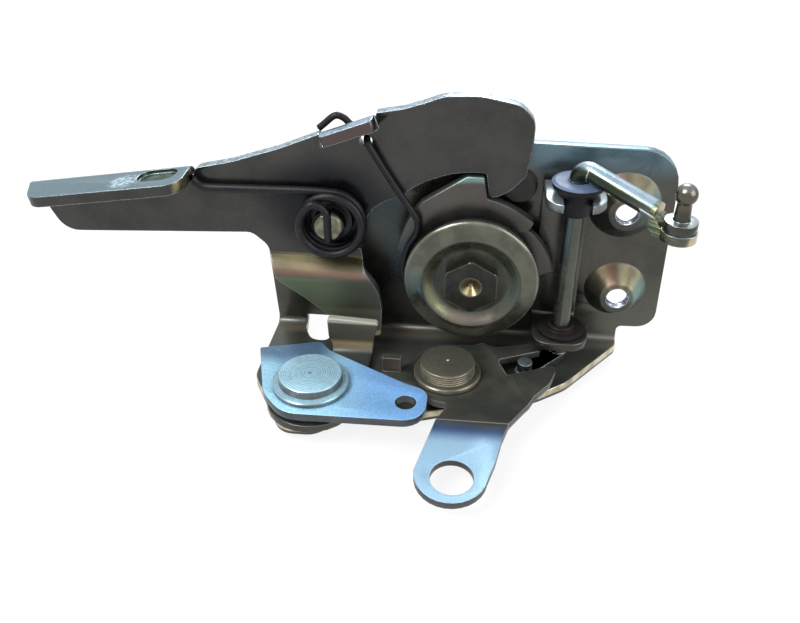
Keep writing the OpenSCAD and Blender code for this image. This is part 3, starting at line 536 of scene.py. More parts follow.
riveted_head = [(-7.55, 0.6), (-7.55, 4.6), (-7.3, 5.6), (-6.4, 6.8), (-6.15, 6.9)]
journal = [(-6.15, 4.7), (-1.15, 4.7), (-1.15, 5.98), (2.65, 5.98), (2.65, 8), (4.9, 8)]
hexagon_end = [(4.91, 6.5, 1), (14.6, 6.5, 1), (14.85, 6.4, 1), (15, 6.15, 1)]
centre_hole = [(15, 2.35), (14.95, 2.2), (13.2, 0.5), (13.1, 0.3)]
shaft_profile = riveted_head + journal + hexagon_end + centre_hole
shaft_steel = Finish("turned_shaft_steel", 0.3, 0.85)
far = (shaft_steel.x ** 2 + shaft_steel.z ** 2) ** 0.5
cone = far.step(2.4, 2.05)
ring = (far * 9).math("SINE") * 0.5 + 0.5
cloud = shaft_steel.noise(1.8, 3)
shade = shaft_steel.mix(cloud, (0.022, 0.021, 0.017), (0.06, 0.056, 0.045))
shade = shaft_steel.mix(far.near(2.35, 0.3) * 0.5, shade, (0.3, 0.28, 0.2))
cone_turn = shaft_steel.z.math("ARCTAN2", shaft_steel.x)
glint = cone_turn.near(-1.9, 0.5) * 0.8 + cone_turn.near(-1.0, 0.4) * 0.6
brown = shaft_steel.mix(cone_turn.near(-1.45, 0.22), (0.12, 0.1, 0.06), (0.12, 0.055, 0.025))
shade = shaft_steel.mix(cone, shade, shaft_steel.mix(glint, brown, (0.3, 0.25, 0.14)))
shade = shaft_steel.mix(shaft_steel.worn_edge(0.3) * 0.6, shade, (0.42, 0.4, 0.33))
shaft_steel.put("Base Color", shade)
shaft_steel.put("Roughness", 0.3 + 0.2 * (cloud - 0.5))
shaft_steel.relief(ring * 0.3 + shaft_steel.noise(0.3, 2) * 0.7, 0.012)
shaft_grid = turned(shaft_profile, (0, 0), hexagon=11.4, cols=120)
rotor_shaft = skin("rotor_shaft_turned", shaft_grid, "rotor", crease=16)
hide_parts("rotor_shaft")
shaft_steel.give(rotor_shaft)


# Ratchet cam and spacer
# The cam is cut from 2.8 mm sheet, with a long stop tooth and two latching steps, left grey.
# A plain ring on the hexagon keeps the disc off it and leaves room for the spring.
def cam_tints(f):
    """Teal on the flank of the stop tooth, and a bright line along the sheared rim."""
    far = (f.x * f.x + f.z * f.z) ** 0.5
    tip = far.step(21.3, 22.6)
    return [(tip * 0.8, (0.2, 0.36, 0.33)), (far.step(16, 18) * 0.25, (0.12, 0.1, 0.085))]


cam_steel = plated("grey_cam_steel", (0.045, 0.044, 0.042), (0.085, 0.08, 0.074), (0.16, 0.2, 0.2),
                   0.34, tint=cam_tints)
cam_steel.give(softened("ratchet_cam", 0.3))
steel.give(softened("rotor_spacer", 0.2))


# Dished disc
# A pressed cover over the rotor spring: flat dish round the hexagon, a soft crest and a thin rim.
# Its passivation is yellow-green on the slope of the dish and pinkish at the bottom, painted brighter
# there as a highlight; the inner dish round the hexagon carries painted shade, and the lower right of
# the rim a painted highlight.
disc_profile = [(11.0, 5.6), (11.0, 9.0), (12.6, 11.1), (11.35, 14.7), (11.6, 15.05), (12.3, 15.05),
                (12.72, 14.6), (13.2, 13.4), (13.75, 12.0), (13.98, 11.2), (13.9, 10.7), (13.3, 9.8),
                (12.62, 8.8), (12.4, 8.2), (12.4, 5.6)]
disc = Finish("yellow_zinc_on_disc", 0.3, 0.85)
far = (disc.x * disc.x + disc.z * disc.z) ** 0.5
turn = disc.z.math("ARCTAN2", disc.x)
cloud = disc.noise(5, 4).step(0.3, 0.7)
shade = disc.mix(cloud, (0.075, 0.077, 0.06), (0.115, 0.115, 0.09))
slope = far.near(9.7, 1.5)
left = (disc.x * -0.9 + disc.z * -0.35) / far
right = (disc.x * 0.75 + disc.z * 0.6) / far
low = (disc.z * -1) / far
# Painted highlight: the left, right and lower parts of the dish's slope are brighter.
shade = disc.mix(slope * left.step(0.1, 0.95) * 0.9, shade, (0.185, 0.185, 0.11))
shade = disc.mix(slope * right.step(0.3, 1) * 0.7, shade, (0.15, 0.18, 0.135))
shade = disc.mix(slope * low.step(0.72, 1) * 0.75, shade, (0.2, 0.155, 0.15))
# Painted shade in the inner dish round the hexagon.
shade = disc.mix(far.step(8.3, 7.2) * 0.4, shade, (0.055, 0.05, 0.042))
shade = disc.mix(far.near(11.3, 0.9) * right.step(0.5, 1) * 0.4, shade, (0.12, 0.13, 0.1))
rim = far.step(14.2, 14.9)
lower_right = (disc.x * 0.6 + disc.z * -0.8) / far
# Painted highlight on the lower right of the rim.
shade = disc.mix(rim * (0.25 + 0.6 * lower_right.step(0.2, 1)), shade, (0.36, 0.36, 0.3))
disc.put("Base Color", shade)
disc.put("Roughness", 0.28 + 0.14 * (cloud - 0.5))
round_and_out = disc.add("ShaderNodeCombineXYZ", (far * 6, turn * 0.6, 0.0))
spun = disc.add("ShaderNodeTexNoise", {"Vector": round_and_out, "Scale": 1.0, "Detail": 2.0})
disc.relief(spun * 0.6 + disc.noise(0.35, 2) * 0.4, 0.014)
disc_grid = turned(eased(disc_profile, 0.22), (0, 0), cols=144)
disc_cover = skin("disc_cover", disc_grid, "rotor", wrap=True)
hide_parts("dished_disc")
disc.give(disc_cover)


# Rotor spring
# Black spring wire: a hook over the tab of the pawl lever, a leg through the lever and across it,
# and coils behind the disc.
def spline(path, steps):
    """Smooth path through the given points: cubic pieces, each shaped by its two neighbours' slope."""
    p = np.array(path, float)
    p = np.concatenate([2 * p[:1] - p[1:2], p, 2 * p[-1:] - p[-2:-1]])
    a, b, c, d = (p[k:len(p) - 3 + k, None, :] for k in range(4))
    t = np.linspace(0, 1, steps, endpoint=False)[None, :, None]
    square = 2 * a - 5 * b + 4 * c - d
    cube = 3 * b - a - 3 * c + d
    curve = 0.5 * (2 * b + (c - a) * t + square * t ** 2 + cube * t ** 3)
    return np.concatenate([curve.reshape(-1, p.shape[1]), path[-1:]])


def wire(name, path, sides=14):
    """Round wire: at each point of the path a circle of its radius, square to the path's direction."""
    points, radius = path[:, :3], path[:, 3]
    ahead = np.gradient(points, axis=0)
    ahead /= np.linalg.norm(ahead, axis=1, keepdims=True)
    side = np.cross(ahead, [0.0, 1.0, 0.0])
    side /= np.linalg.norm(side, axis=1, keepdims=True)
    other = np.cross(side, ahead)
    turn = np.linspace(0, 2 * math.pi, sides, endpoint=False)
    circle = side[:, None] * np.cos(turn)[None, :, None] + other[:, None] * np.sin(turn)[None, :, None]
    return skin(name, points[:, None] + radius[:, None, None] * circle, None)


hook_back, leg_front, coil_front = -3.9, -8.4, -8.7
spring_hole = (-23.6, 30.2)
x, z = spring_hole
leg = [(-34.2, hook_back, 31.2), (-32.6, hook_back, 32.6), (-31.2, hook_back, 33.8),
       (-30, hook_back, 34.2), (-28.6, hook_back, 33.6), (-27.2, hook_back, 32.3),
       (x - 1.1, hook_back, z + 1.3), (x - 0.1, hook_back - 0.9, z + 0.3),
       (x + 0.1, (hook_back + leg_front) / 2, z + 0.25), (x + 0.3, leg_front + 0.8, z + 0.1),
       (x + 1.2, leg_front - 0.1, z - 1.4),
       (-17.6, coil_front + 0.2, 20.8), (-12.9, coil_front, 13.6), (-12.4, coil_front, 11.9)]
turn = np.radians(143 + 14 * np.arange(4))
reach = 15.7 - 0.1 * np.arange(4)
lead = np.stack([reach * np.cos(turn), coil_front - 0.1 * np.arange(4), reach * np.sin(turn)], axis=-1)
part = np.arange(41) / 40
turn = np.radians(200 + 360 * 1.75 * part)
reach = 14.4 - 4.4 * part ** 2
inward = coil_front - 0.3 - 1.2 * np.minimum(1, 1.4 * part)
coils = np.stack([reach * np.cos(turn), inward, reach * np.sin(turn)], axis=-1)
path = np.concatenate([leg, lead, coils])
wire_radius = 0.75
path = spline(np.concatenate([path, np.full((len(path), 1), wire_radius)], axis=1), 5)
rotor_wire = wire("rotor_spring_wire", path)
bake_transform(rotor_wire)
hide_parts("rotor_spring")
oiled_wire = Finish("black_spring_wire", 0.42, 0.0)
oiled_wire.shader.inputs["Specular IOR Level"].default_value = 0.22
drawn = oiled_wire.noise(0.5, 3)
shade = oiled_wire.mix(drawn.step(0.3, 0.75), (0.003, 0.003, 0.004), (0.009, 0.008, 0.01))
rusty = oiled_wire.noise(3, 3).step(0.62, 0.8) * 0.3
oiled_wire.put("Base Color", oiled_wire.mix(rusty, shade, (0.07, 0.05, 0.04)))
oiled_wire.put("Roughness", 0.42 + 0.2 * (drawn - 0.5))
oiled_wire.relief(drawn, 0.02)
oiled_wire.give(rotor_wire)


# Pawl post and its spacer
# A shouldered steel pin, turned and riveted into the wall, with a slot in its head for the spring.
turned_zinc = Finish("turned_zinc_pin", 0.28, 0.85)
post_at = (-31.8, 11.6)
off_x, off_z = turned_zinc.x - post_at[0], turned_zinc.z - post_at[1]
far = (off_x * off_x + off_z * off_z) ** 0.5
ring = (far * 14 + turned_zinc.noise(2, 2) * 2).math("SINE") * 0.5 + 0.5
cloud = turned_zinc.noise(1.6, 3)
shade = turned_zinc.mix(cloud.step(0.3, 0.7), (0.1, 0.094, 0.065), (0.24, 0.225, 0.165))
shade = turned_zinc.mix(turned_zinc.worn_edge(0.3) * 0.6, shade, (0.5, 0.47, 0.36))
# Painted shade: near-black on the shank behind the head.
shade_behind_head = turned_zinc.front.step(12.6, 11.8) * turned_zinc.front.step(4, 7)
shade = turned_zinc.mix(shade_behind_head, shade, (0.02, 0.02, 0.02))
turned_zinc.put("Base Color", shade)
turned_zinc.put("Roughness", 0.3 + 0.16 * (cloud - 0.5))
turned_zinc.relief(ring * 0.6 + turned_zinc.noise(0.3, 2) * 0.4, 0.012)
turned_zinc.give(softened("pawl_post", 0.2))
steel.give(softened("pawl_spacer", 0.15))


# Pawl lever
# A long lever of 2.5 mm sheet: a nose over the cam, a sloping flange for the outside handle, a tab for
# the spring and a strap that is set forward by a jog, golden where the sheet is bent.
def pawl_tints(f):
    """Gold face and pink foot on the jog, green on the strap, and a painted shadow of the spring.

    The strap darkens towards its right end and is lighter low down, with a painted highlight along
    its foot. The up-facing sheared edge and the top of the tab carry a painted sky reflection.

    over is the height over the upper face of the flange, which slopes by 8.5 degrees. pocket is the
    dent in that face, scuff a rubbed spot beside it, and cut the sheared upper edge of the sheet."""
    front = f.front.step(7.2, 7.5)
    jog = front * f.z.step(-2.6, -1.5) * f.z.step(2.6, 1.9) * f.x.step(-24.4, -25)
    wave = f.noise(6, 3, stretch=(2, 1, 1))
    gold = f.mix(wave.step(0.35, 0.65), (0.1, 0.08, 0.042), (0.062, 0.06, 0.038))
    tints = [(jog, gold)]
    tints.append((front * (f.z + wave * 1.4).near(-0.6, 1.3) * 0.7, (0.12, 0.062, 0.042)))
    strap = f.front.step(10.2, 10.8) * f.z.step(-1.9, -3)
    tints.append((strap, f.mix(f.x.step(-36, -25), (0.07, 0.088, 0.05), (0.03, 0.032, 0.022))))
    tints.append((strap * f.z.step(-9.5, -10.5) * 0.6, (0.1, 0.1, 0.075)))
    # Painted highlight along the strap's foot.
    tints.append((strap * f.z.step(-15.4, -16.4) * 0.8, (0.42, 0.36, 0.24)))
    dx, dz = f.x + 31.8, f.z - 13.6
    ahead = f.front.step(9.6, 9)
    # Painted shadow of the spring's coil on the lever.
    coil_shadow = ((dx * dx + dz * dz * 1.6) ** 0.5).step(19, 8) * ahead
    tints.append((coil_shadow * 0.85, (0.01, 0.011, 0.014)))
    # Painted shadow of the spring's leg along the lever.
    along = f.x.step(-62, -34) * f.x.step(-20, -34) * (f.z - f.x * 0.08).near(22.6, 7.5)
    tints.append((along * 0.8 * ahead, (0.01, 0.011, 0.015)))
    slope = math.tan(math.radians(8.5))
    over = f.z - (f.x + 62.6) * slope - 22.7
    oval = (((f.x + 69.2) / 5.0) ** 2) ** 1.4 + (((f.y + 10.7) / 3.0) ** 2) ** 1.4
    pocket = oval.step(1.15, 0.9) * over.step(-0.35, -0.7)
    rubbed = (((f.x + 76) / 3.6) ** 2 + ((f.y + 12.6) / 3.4) ** 2).step(1.2, 0.3)
    scuff = rubbed * f.noise(0.9, 3).step(0.4, 0.6)
    ny, nz = f.parts(f.facing)[1:]
    tints.append((scuff * over.step(-0.4, -0.2), (0.5, 0.66, 0.74)))
    bore = ((f.x - spring_hole[0]) ** 2 + (f.z - spring_hole[1]) ** 2) ** 0.5
    # Painted sky reflection on the up-facing sheared edge.
    cut = nz.step(0.45, 0.75) * f.front.step(7.6, 7.3) * f.z.step(19, 20) * bore.step(1.5, 1.8)
    flakes = f.noise(0.8, 3, roughness=0.7).step(0.35, 0.6)
    tints.append((cut * 0.9, f.mix(flakes, (0.13, 0.18, 0.22), (0.4, 0.5, 0.58))))
    tab = f.front.step(8, 9) * f.x.step(-40, -38) * f.z.step(26, 28)
    tints.append((tab * ny.step(-0.5, -0.8) * 0.8, (0.085, 0.062, 0.06)))
    # Painted sky reflection on the top of the tab.
    tints.append((tab * nz.step(0.5, 0.8) * 0.9, f.mix(flakes, (0.16, 0.25, 0.36), (0.36, 0.5, 0.62))))
    end = f.x.step(-64.4, -63.4) * f.x.step(-59, -61) * f.front.step(7.6, 8.4) * nz.step(0.5, 0.2)
    tints.append((end * 0.85, (0.2, 0.185, 0.1)))
    dusty = f.mix(f.noise(2.2, 3).step(0.4, 0.7), (0.05, 0.085, 0.07), (0.13, 0.19, 0.17))
    tints.append((pocket, dusty))
    return tints


def pawl_strap(f):
    """The strap below the jog, and the jog in part."""
    return f.front.step(8, 10) * f.z.step(3, -2)


zinc_pawl = plated("zinc_on_pawl", (0.036, 0.038, 0.036), (0.06, 0.058, 0.054), (0.17, 0.255, 0.3),
                   0.27, tint=pawl_tints, dull=pawl_strap)
zinc_pawl.give(softened("pawl_lever", 0.28))


# Pawl spring
# Two turns of thick black wire round the post: a leg under the lever's flange and a tang in the slot.
leg_y, pitch, coil_r = -8.65, 2.35, 6.8
centre = (-31.3, 11.6)
leg = [(-62.1, leg_y, 20.2, 1), (-60.8, leg_y, 18.9, 1), (-58.8, leg_y, 18.3, 1), (-52, leg_y, 18.4, 1),
       (-44, leg_y, 18.5, 1), (-37, leg_y, 18.6, 1)]
turns = np.arange(39)
angle = np.radians(90 - 18 * turns)
coils = np.stack([centre[0] + coil_r * np.cos(angle), leg_y - pitch * turns / 20 * 0.9,
                  centre[1] + coil_r * np.sin(angle), np.ones(39)], axis=-1)
tang_y = leg_y - pitch * 1.7
tang = [(centre[0] - 2.9, tang_y, 17.2, 0.95), (centre[0] - 1.7, tang_y, 16.7, 0.85),
        (-32.3, tang_y, 16.0, 0.72), (-31.8, tang_y, 15.0, 0.72), (-31.8, tang_y, 11.6, 0.72),
        (-31.8, tang_y, 8.6, 0.72)]
pawl_wire = wire("pawl_spring_wire", spline(np.concatenate([leg, coils, tang]), 5), sides=18)
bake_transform(pawl_wire)
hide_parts("pawl_spring")
oiled_wire.give(pawl_wire)


# Release rivet
# A stepped steel rivet through the floor: a broad shoulder over the levers and a faced, turned head.
# Bright zinc whose level faces carry a painted blue sky reflection; the tool left fine rings round a
# small centre mark.
def faced_finish(name, at, dark, light, sky, top, side, ring_width, mark):
    """Turned rings on the level faces, grooves on the sides, and a punched mark in the middle.

    The level faces carry a painted reflection of the sky, and the light bands along the grooves on
    the sides are painted highlights.

    The ring height is the sine of the distance from the axis, bent a little by noise."""
    f = Finish(name, 0.26, 0.55)
    dx, dy = f.x - at[0], f.y - at[1]
    far = (dx * dx + dy * dy) ** 0.5
    level = f.parts(f.facing)[2].step(0.5, 0.95)
    ring = ((far + f.noise(3, 2) * 0.25) * (2 * math.pi / ring_width)).math("SINE") * 0.5 + 0.5
    line = far.near(1.9, 0.12) + far.near(3.0, 0.1) * 0.8
    line = line + far.near(4.3, 0.14) + far.near(5.3, 0.1) * 0.6
    cloud = f.noise(3.2, 3)
    groove = (f.z * (2 * math.pi / 0.55)).math("SINE") * 0.5 + 0.5
    shade = f.mix(cloud.step(0.3, 0.7), dark, light)
    # Painted highlights in light bands along the grooves on the sides.
    shade = f.mix((1 - level) * groove * 0.45 * f.noise(4, 2).step(0.3, 0.7), shade, side)
    # Painted reflection of the sky on the level faces.
    flat = f.mix(f.noise(0.7, 3).step(0.3, 0.75), tuple(c * 0.8 for c in sky), sky)
    flat = f.mix(ring * 0.2 + line * 0.5 * level, flat, tuple(c * 0.3 for c in sky))
    shade = f.mix(level * 0.95, shade, flat)
    shade = f.mix(far.step(0.42, 0.26) * (f.z - top).step(-1, 0), shade, mark)
    shade = f.mix(f.worn_edge(0.3) * 0.5, shade, tuple(min(1, c * 1.3) for c in light))
    f.put("Base Color", shade)
    f.put("Roughness", 0.26 + 0.12 * (cloud - 0.5) + 0.06 * ring)
    f.relief(ring * 0.5 * level + f.noise(0.3, 2) * 0.2 + line * -0.5 * level, 0.02)
    return f


def rivet(name, at, sizes, grooves, node):
    """Stepped rivet: tail, shank, bearing, shoulder and a head whose side is grooved like a thread.

    A groove row lowers the radius by half its depth times one minus the cosine along the height."""
    tail, bearing, shoulder, head, shoulder_z, head_h = sizes
    low = FLOOR - SHEET
    under = [(low - 1.3, 0.5), (low - 1.3, tail + 0.3), (low - 0.9, tail + 1.1), (low, tail + 1.8),
             (low + 0.01, tail), (FLOOR, tail), (FLOOR, bearing), (shoulder_z, bearing),
             (shoulder_z, shoulder - 0.15), (shoulder_z + 0.15, shoulder), (shoulder_z + 0.85, shoulder),
             (shoulder_z + 1.1, shoulder - 0.25), (shoulder_z + 1.1, head)]
    rise = np.linspace(0.04, head_h - 1.5, 8 * grooves + 1)
    dip = 0.11 * (1 - np.cos(2 * math.pi * grooves * rise / rise[-1])) / 2
    side = np.stack([shoulder_z + 1.1 + rise, head - dip], axis=-1)
    top = shoulder_z + head_h - 0.4
    crown = [(top + 0.2, head - 0.08), (top + 0.34, head - 0.24), (top + 0.4, head - 0.45),
             (top + 0.4, 0.36), (top + 0.25, 0.22), (top + 0.12, 0.08)]
    profile = np.concatenate([under, side, crown])
    piece = skin(name, turned(profile, at, upright=True), "base")
    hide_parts(node)
    return piece


release_at = (-32.9, -33.6)
blue_pin = faced_finish("zinc_with_painted_sky_on_rivet", release_at, (0.05, 0.05, 0.045), (0.1, 0.11, 0.105),
                        (0.5, 0.82, 1.0), -11.75, (0.2, 0.28, 0.3), 0.5, (0.03, 0.08, 0.16))
release_sizes = (3.97, 5, 8.3, 6.85, -14.75, 3)
blue_pin.give(rivet("release_rivet_turned", release_at, release_sizes, 2, "release_rivet"))


# Release levers
# The follower lies on the floor and has an upturned tab and a finger for the pawl's strap.
# The upper lever is bright zinc with a painted blue-white sky reflection, and is drilled for the rod
# of the inside handle.
def follower_tints(f):
    """Pinkish face and a painted highlight on the rounded top of the tab, and a gold band where it is
    bent up.
    """
    tab = f.z.step(-18.6, -17.6)
    # The last tint is a painted highlight on the rounded top of the tab.
    return [(tab, (0.065, 0.065, 0.05)), (f.z.near(-16.6, 1.5) * tab * 0.9, (0.34, 0.26, 0.15)),
            (f.z.step(-11.2, -10.6) * 0.8, (0.4, 0.4, 0.33))]


def follower_tab(f):
    """The upturned tab."""
    return f.z.step(-18.6, -17.6)


zinc_follower = plated("zinc_on_follower", (0.04, 0.038, 0.033), (0.085, 0.078, 0.066),
                       (0.07, 0.085, 0.09), 0.28, tint=follower_tints, dull=follower_tab)
zinc_follower.give(softened("release_follower", 0.25))
steel.give(softened("release_spacer", 0.12))


def zinc_with_painted_sky(name, bright, deep, shadow_side):
    """Bright zinc with a painted reflection of a pale blue sky on its level faces: fine speckles over a
    slow change from bright to deep, and painted shade on the back left of the sheet.

    shadow_side(finish) gives the mask along which the sheet turns from bright to deep."""
    f = Finish(name, 0.36, 0.45)
    level = f.parts(f.facing)[2].step(0.5, 0.9)
    cloud = f.noise(7, 3).step(0.3, 0.7)
    grain = f.noise(0.3, 3, roughness=0.75)
    shift = shadow_side(f)
    # Painted reflection of a pale blue sky on the level faces, from bright to deep.
    flat = f.mix(shift, bright, deep)
    # Painted shade on the back left of the lever.
    flat = f.mix(f.y.step(-29.5, -23) * f.x.step(-26, -34) * 0.9, flat, (0.05, 0.07, 0.1))
    flat = f.mix(grain.step(0.62, 0.36) * 0.45, flat, tuple(0.55 * c for c in deep))
    flat = f.mix(grain.step(0.56, 0.74) * 0.5, flat, tuple(min(1, 1.25 * c) for c in bright))
    side = f.mix(cloud, (0.035, 0.04, 0.045), (0.07, 0.078, 0.085))
    shade = f.mix(level, side, flat)
    shade = f.mix(f.worn_edge(0.3) * 0.6 * level.step(0, 0.4), shade, (0.75, 0.86, 0.9))
    f.put("Base Color", shade)
    f.put("Roughness", 0.3 + 0.12 * (grain - 0.5))
    f.relief(grain, 0.018)
    return f


def release_shift(f):
    """Deeper blue of the painted reflection towards the rod hole and round the back corner."""
    corner = ((f.x + 39) ** 2 + (f.y + 19) ** 2) ** 0.5
    slant = f.x + f.y * 0.5 + 2 * f.noise(6, 2)
    return corner.step(9, 3) * 0.9 + slant.step(-47, -28) * 0.55 + f.x.step(-31, -19) * 0.45


blue_lever = zinc_with_painted_sky("zinc_with_painted_sky_on_lever", (0.44, 0.79, 0.99), (0.22, 0.48, 0.92), release_shift)
blue_lever.give(softened("release_lever", 0.25))


# Lock rivet and its spacer
# The same stepped rivet as the release side, but duller, with golden painted highlights along the
# grooves round its taller head.
lock_at = (-4.1, -24.3)
brown_pin = faced_finish("brown_zinc_on_rivet", lock_at, (0.08, 0.075, 0.058), (0.17, 0.155, 0.12),
                         (0.11, 0.11, 0.088), -13.3, (0.45, 0.4, 0.26), 0.45, (0.2, 0.2, 0.16))
lock_sizes = (3.47, 4.5, 7.45, 6.05, -17.0, 3.7)
brown_pin.give(rivet("lock_rivet_turned", lock_at, lock_sizes, 4, "lock_rivet"))
steel.give(softened("lock_spacer", 0.12))


# Lock lever
# 1.6 mm sheet with an upturned tab, a forked end that is set up by a jog for the crank pin,
# and an end bent down to a ring for the rod of the lock knob, painted with a bright blue sky reflection.
def lock_shift(f):
    """Dark on the level body, and a painted sky reflection: a blue band across the bend, bright towards
    the ring.
    """
    return (f.y + f.x * 0.03 + 0.8 * f.noise(5, 2)).step(-43.8, -38.6)


def lock_colours():
    """Finish of the lock lever: dark body, a painted blue sky reflection on band and ring,
    pinkish tab, pale worn edges.
    """
    f = Finish("zinc_on_lock_lever", 0.3, 0.5)
    level = f.parts(f.facing)[2].step(0.5, 0.9)
    cloud = f.noise(8, 4).step(0.3, 0.7)
    grain = f.noise(0.3, 3, roughness=0.75)
    body = f.mix(cloud, (0.033, 0.037, 0.033), (0.06, 0.06, 0.05))
    # The ring's blue and the band across the bend are a painted reflection of the sky.
    ring = f.mix(grain.step(0.62, 0.36) * 0.3, (0.31, 0.5, 0.64), (0.12, 0.24, 0.5))
    ring = f.mix(f.y.near(-41.6, 4.6) * 0.95, ring, (0.035, 0.08, 0.24))
    flat = f.mix(lock_shift(f), ring, body)
    side = f.mix(cloud, (0.032, 0.034, 0.036), (0.06, 0.062, 0.06))
    tab = f.x.step(-13.9, -14.4) * f.z.step(-16.9, -16.2)
    side = f.mix(tab * 0.7, side, (0.075, 0.055, 0.048))
    shade = f.mix(level, side, flat)
    shade = f.mix(f.worn_edge(0.28) * 0.8, shade, (0.55, 0.54, 0.46))
    f.put("Base Color", shade)
    f.put("Roughness", 0.36 + 0.1 * (grain - 0.5) + 0.1 * (cloud - 0.5))
    f.relief(grain * 0.7 + cloud * 0.3, 0.018)
    return f


lock_colours().give(softened("lock_lever", 0.22))


# Bushes of the lock shaft
# Grey-lilac nylon bushes snapped into the ears, a little dirty round the shaft, with painted shade
# on every face that does not look up.
def nylon_finish(name, pale, dark):
    """Even nylon with dirt that gathers in clouds, and painted shade on every face that does not look
    up.
    """
    f = Finish(name, 0.45, 0.0)
    dirt = f.noise(2.2, 4).step(0.42, 0.75)
    fine = f.noise(0.4, 3)
    level = f.parts(f.facing)[2].step(0.2, 0.7)
    even = f.mix(fine, pale, tuple(c * 0.85 for c in pale))
    f.shader.inputs["Specular IOR Level"].default_value = 0.15
    # Painted shade: every face that does not look up turns dark, with dirt in clouds on top.
    f.put("Base Color", f.mix((dirt * 0.35 + (1 - level)).math("MINIMUM", 1), even, dark))
    f.put("Roughness", 0.42 + 0.25 * (fine - 0.5))
    f.relief(fine, 0.015)
    return f


lilac_nylon = nylon_finish("lilac_nylon", (0.1, 0.145, 0.24), (0.006, 0.006, 0.008))
lilac_nylon.give(softened("upper_bush", 0.25))
brown_nylon = nylon_finish("brown_nylon", (0.012, 0.01, 0.009), (0.006, 0.005, 0.005))
brown_nylon.give(softened("lower_bush", 0.25))


# Lock shaft and ball stud
# A zinc plated rod, flattened to a crank below and bent to an arm above, whose eye carries a ball stud.
shaft_at = (20.9, -11)


def rod_tints(f):
    """Light streaks along the rod, a painted sky reflection in blue-white on the arm's back, painted
    shade in moss green under it, and a cream face where it is cut off. The arm runs 39 degrees forward
    of the wall's own line.

    along is the way out from the shaft's axis and across the way aside from the arm's middle."""
    streak = f.noise(0.7, 3, stretch=(1, 1, 14)).step(0.5, 0.75)
    low = f.z.step(24, 18)
    cos, sin = math.cos(math.radians(39)), math.sin(math.radians(39))
    dx, dy = f.x - shaft_at[0], f.y - shaft_at[1]
    along = dx * cos - dy * sin
    across = dx * sin + dy * cos
    nx, ny, nz = f.parts(f.facing)
    lengthwise = f.add("ShaderNodeCombineXYZ", (along * 0.12, across * 2.4, f.z * 2.4))
    fine = f.add("ShaderNodeTexNoise", {"Vector": lengthwise, "Scale": 1.0, "Detail": 3.0})
    high = f.z.step(24.5, 26.5)
    under = high * nz.step(0.72, 0.3)
    band = high * nz.near(0.5, 0.25) * fine.step(0.45, 0.6)
    cut = (nx * cos - ny * sin).step(0.8, 0.93) * along.step(16, 17.5)
    tongue = along.step(17.6, 18.2) * along.step(26, 21)
    # The blue-white tint on the arm's back is a painted sky reflection, the dark tint under it painted
    # shade.
    return [(streak * 0.35 * low, (0.2, 0.21, 0.19)), (low * 0.3, (0.055, 0.06, 0.05)),
            (high * nz.step(0.45, 0.85) * (0.25 + 0.65 * fine.step(0.4, 0.7)), (0.32, 0.44, 0.56)),
            (under * 0.95, (0.03, 0.04, 0.024)), (band * 0.6, (0.12, 0.16, 0.08)),
            (tongue * 0.8, f.mix(fine.step(0.4, 0.65), (0.05, 0.065, 0.035), (0.3, 0.32, 0.16))),
            (cut * 0.9, (0.5, 0.42, 0.28))]


rod_finish = plated("zinc_on_rod", (0.05, 0.056, 0.042), (0.11, 0.12, 0.1), (0.3, 0.4, 0.46), 0.24,
                    0.9, tint=rod_tints)
rod_finish.give(softened("lock_shaft", 0.2))


def ball_colours(f):
    """Brownish silver on the ball, greyer down the neck."""
    return [(f.z.step(26, 28) * 0.6, (0.12, 0.106, 0.08))]


ball_finish = plated("zinc_on_ball", (0.042, 0.043, 0.036), (0.085, 0.083, 0.068),
                     (0.26, 0.31, 0.32), 0.22, 0.9, tint=ball_colours)
ball_finish.give(softened("ball_stud", 0.2))


# Floor, backdrop and lamps
# A pale floor under the lowest piece, a backdrop behind, two broad soft lamps and a narrow one.
# Floor, backdrop and room are white to the camera, and the floor keeps the shadow.
def largest(tree, *sockets):
    """The largest of some values, as a socket of a node tree."""
    top = sockets[0]
    for socket in sockets[1:]:
        node = tree.nodes.new("ShaderNodeMath")
        node.operation = "MAXIMUM"
        tree.links.new(top, node.inputs[0])
        tree.links.new(socket, node.inputs[1])
        top = node.outputs[0]
    return top


def seen_rays(tree):
    """1 for a ray from the camera, a mirror or glass, and 0 for one that gathers light."""
    path = tree.nodes.new("ShaderNodeLightPath").outputs
    return largest(tree, path["Is Camera Ray"], path["Is Glossy Ray"], path["Is Transmission Ray"])


def pale_surface(name, share):
    """White by share to the camera and in reflections, and a plain white paint that takes shadows."""
    material = bpy.data.materials.new(name)
    material.use_nodes = True
    tree = material.node_tree
    tree.nodes.clear()
    out = tree.nodes.new("ShaderNodeOutputMaterial")
    paint = tree.nodes.new("ShaderNodeBsdfDiffuse")
    paint.inputs["Color"].default_value = (0.82, 0.82, 0.82, 1)
    glow = tree.nodes.new("ShaderNodeEmission")
    part = tree.nodes.new("ShaderNodeMath")
    part.operation = "MULTIPLY"
    part.inputs[1].default_value = share
    blend = tree.nodes.new("ShaderNodeMixShader")
    tree.links.new(seen_rays(tree), part.inputs[0])
    tree.links.new(part.outputs[0], blend.inputs[0])
    tree.links.new(paint.outputs[0], blend.inputs[1])
    tree.links.new(glow.outputs[0], blend.inputs[2])
    tree.links.new(blend.outputs[0], out.inputs["Surface"])
    return material


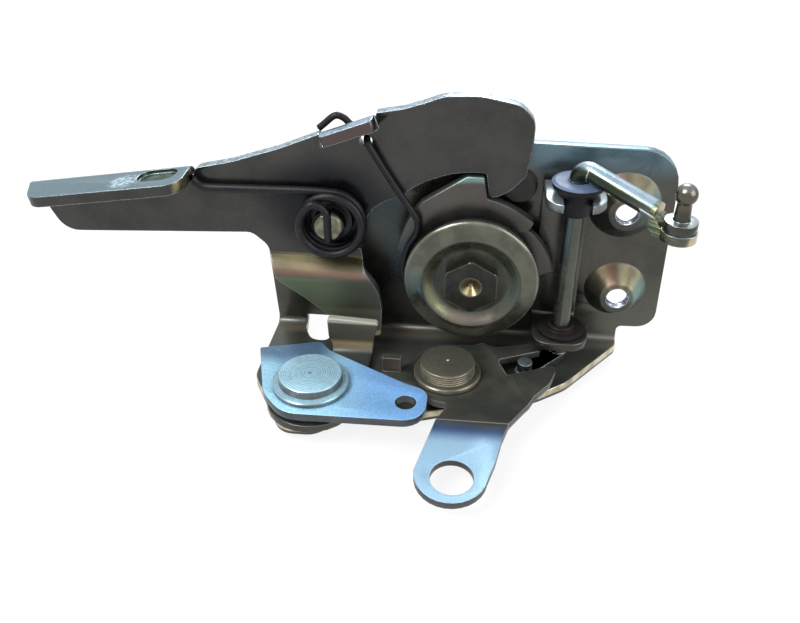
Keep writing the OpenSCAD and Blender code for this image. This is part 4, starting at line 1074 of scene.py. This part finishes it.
def sweep(low, half, depth, rise, radius):
    """Floor that turns up into a wall: straight, then a quarter circle, then straight again.

    In metres: low is the floor's height, half is half its width, depth its reach to the front and
    the back, rise the height of the wall over it and radius that of the bend."""
    turn = np.linspace(0, math.pi / 2, 24)
    y = np.concatenate([[-depth], depth - radius + radius * np.sin(turn), [depth]])
    z = np.concatenate([[low], low + radius - radius * np.cos(turn), [low + rise]])
    points = np.stack([np.stack([np.full_like(y, s * half), y, z], axis=-1) for s in (-1, 1)], axis=1)
    count = len(y)
    index = np.arange(count * 2).reshape(count, 2)
    faces = np.stack([index[:-1, 0], index[:-1, 1], index[1:, 1], index[1:, 0]], axis=-1).tolist()
    data = bpy.data.meshes.new("sweep")
    data.from_pydata(points.reshape(-1, 3), [], faces)
    data.shade_smooth()
    piece = bpy.data.objects.new("floor_and_backdrop", data)
    bpy.context.scene.collection.objects.link(piece)
    return piece


lowest = float(cad_box[0][2])
gap_below = 0.4 * MM
floor = sweep(lowest - gap_below, 3.0, 1.6, 2.4, 0.7)
floor.data.materials.append(pale_surface("pale_floor", 0.86))


def bright_room(light):
    """A world that lights the piece by light and is white to the camera and in reflections."""
    world = bpy.data.worlds.new("room")
    bpy.context.scene.world = world
    world.use_nodes = True
    tree = world.node_tree
    sky = tree.nodes["Background"]
    sky.inputs["Color"].default_value = (1, 1, 1, 1)
    level = tree.nodes.new("ShaderNodeValue").outputs[0]
    level.default_value = light
    tree.links.new(largest(tree, seen_rays(tree), level), sky.inputs["Strength"])


bright_room(0.75)


def lamp(name, spot, aim, size, power):
    """A square soft lamp at spot that shines at aim, both in millimetres."""
    data = bpy.data.lights.new(name, "AREA")
    data.size = size
    data.energy = power
    piece = bpy.data.objects.new(name, data)
    bpy.context.scene.collection.objects.link(piece)
    ray = np.array(spot, float) - np.array(aim, float)
    ray /= np.linalg.norm(ray)
    side = np.cross([0.0, 1.0, 0.0] if abs(ray[2]) > 0.95 else [0.0, 0.0, 1.0], ray)
    side /= np.linalg.norm(side)
    up = np.cross(ray, side)
    rows = [[side[i], up[i], ray[i], spot[i] * MM] for i in range(3)]
    piece.matrix_world = Matrix(rows + [[0, 0, 0, 1]])


lamp("window", (-350, -300, 520), (-10, -15, 0), 0.35, 5.0)
lamp("side", (450, -260, 260), (0, -15, 0), 0.4, 2.0)
lamp("strip", (60, 420, 380), (0, -10, 0), 0.25, 3.0)

bpy.context.scene.view_settings.view_transform = "Standard"
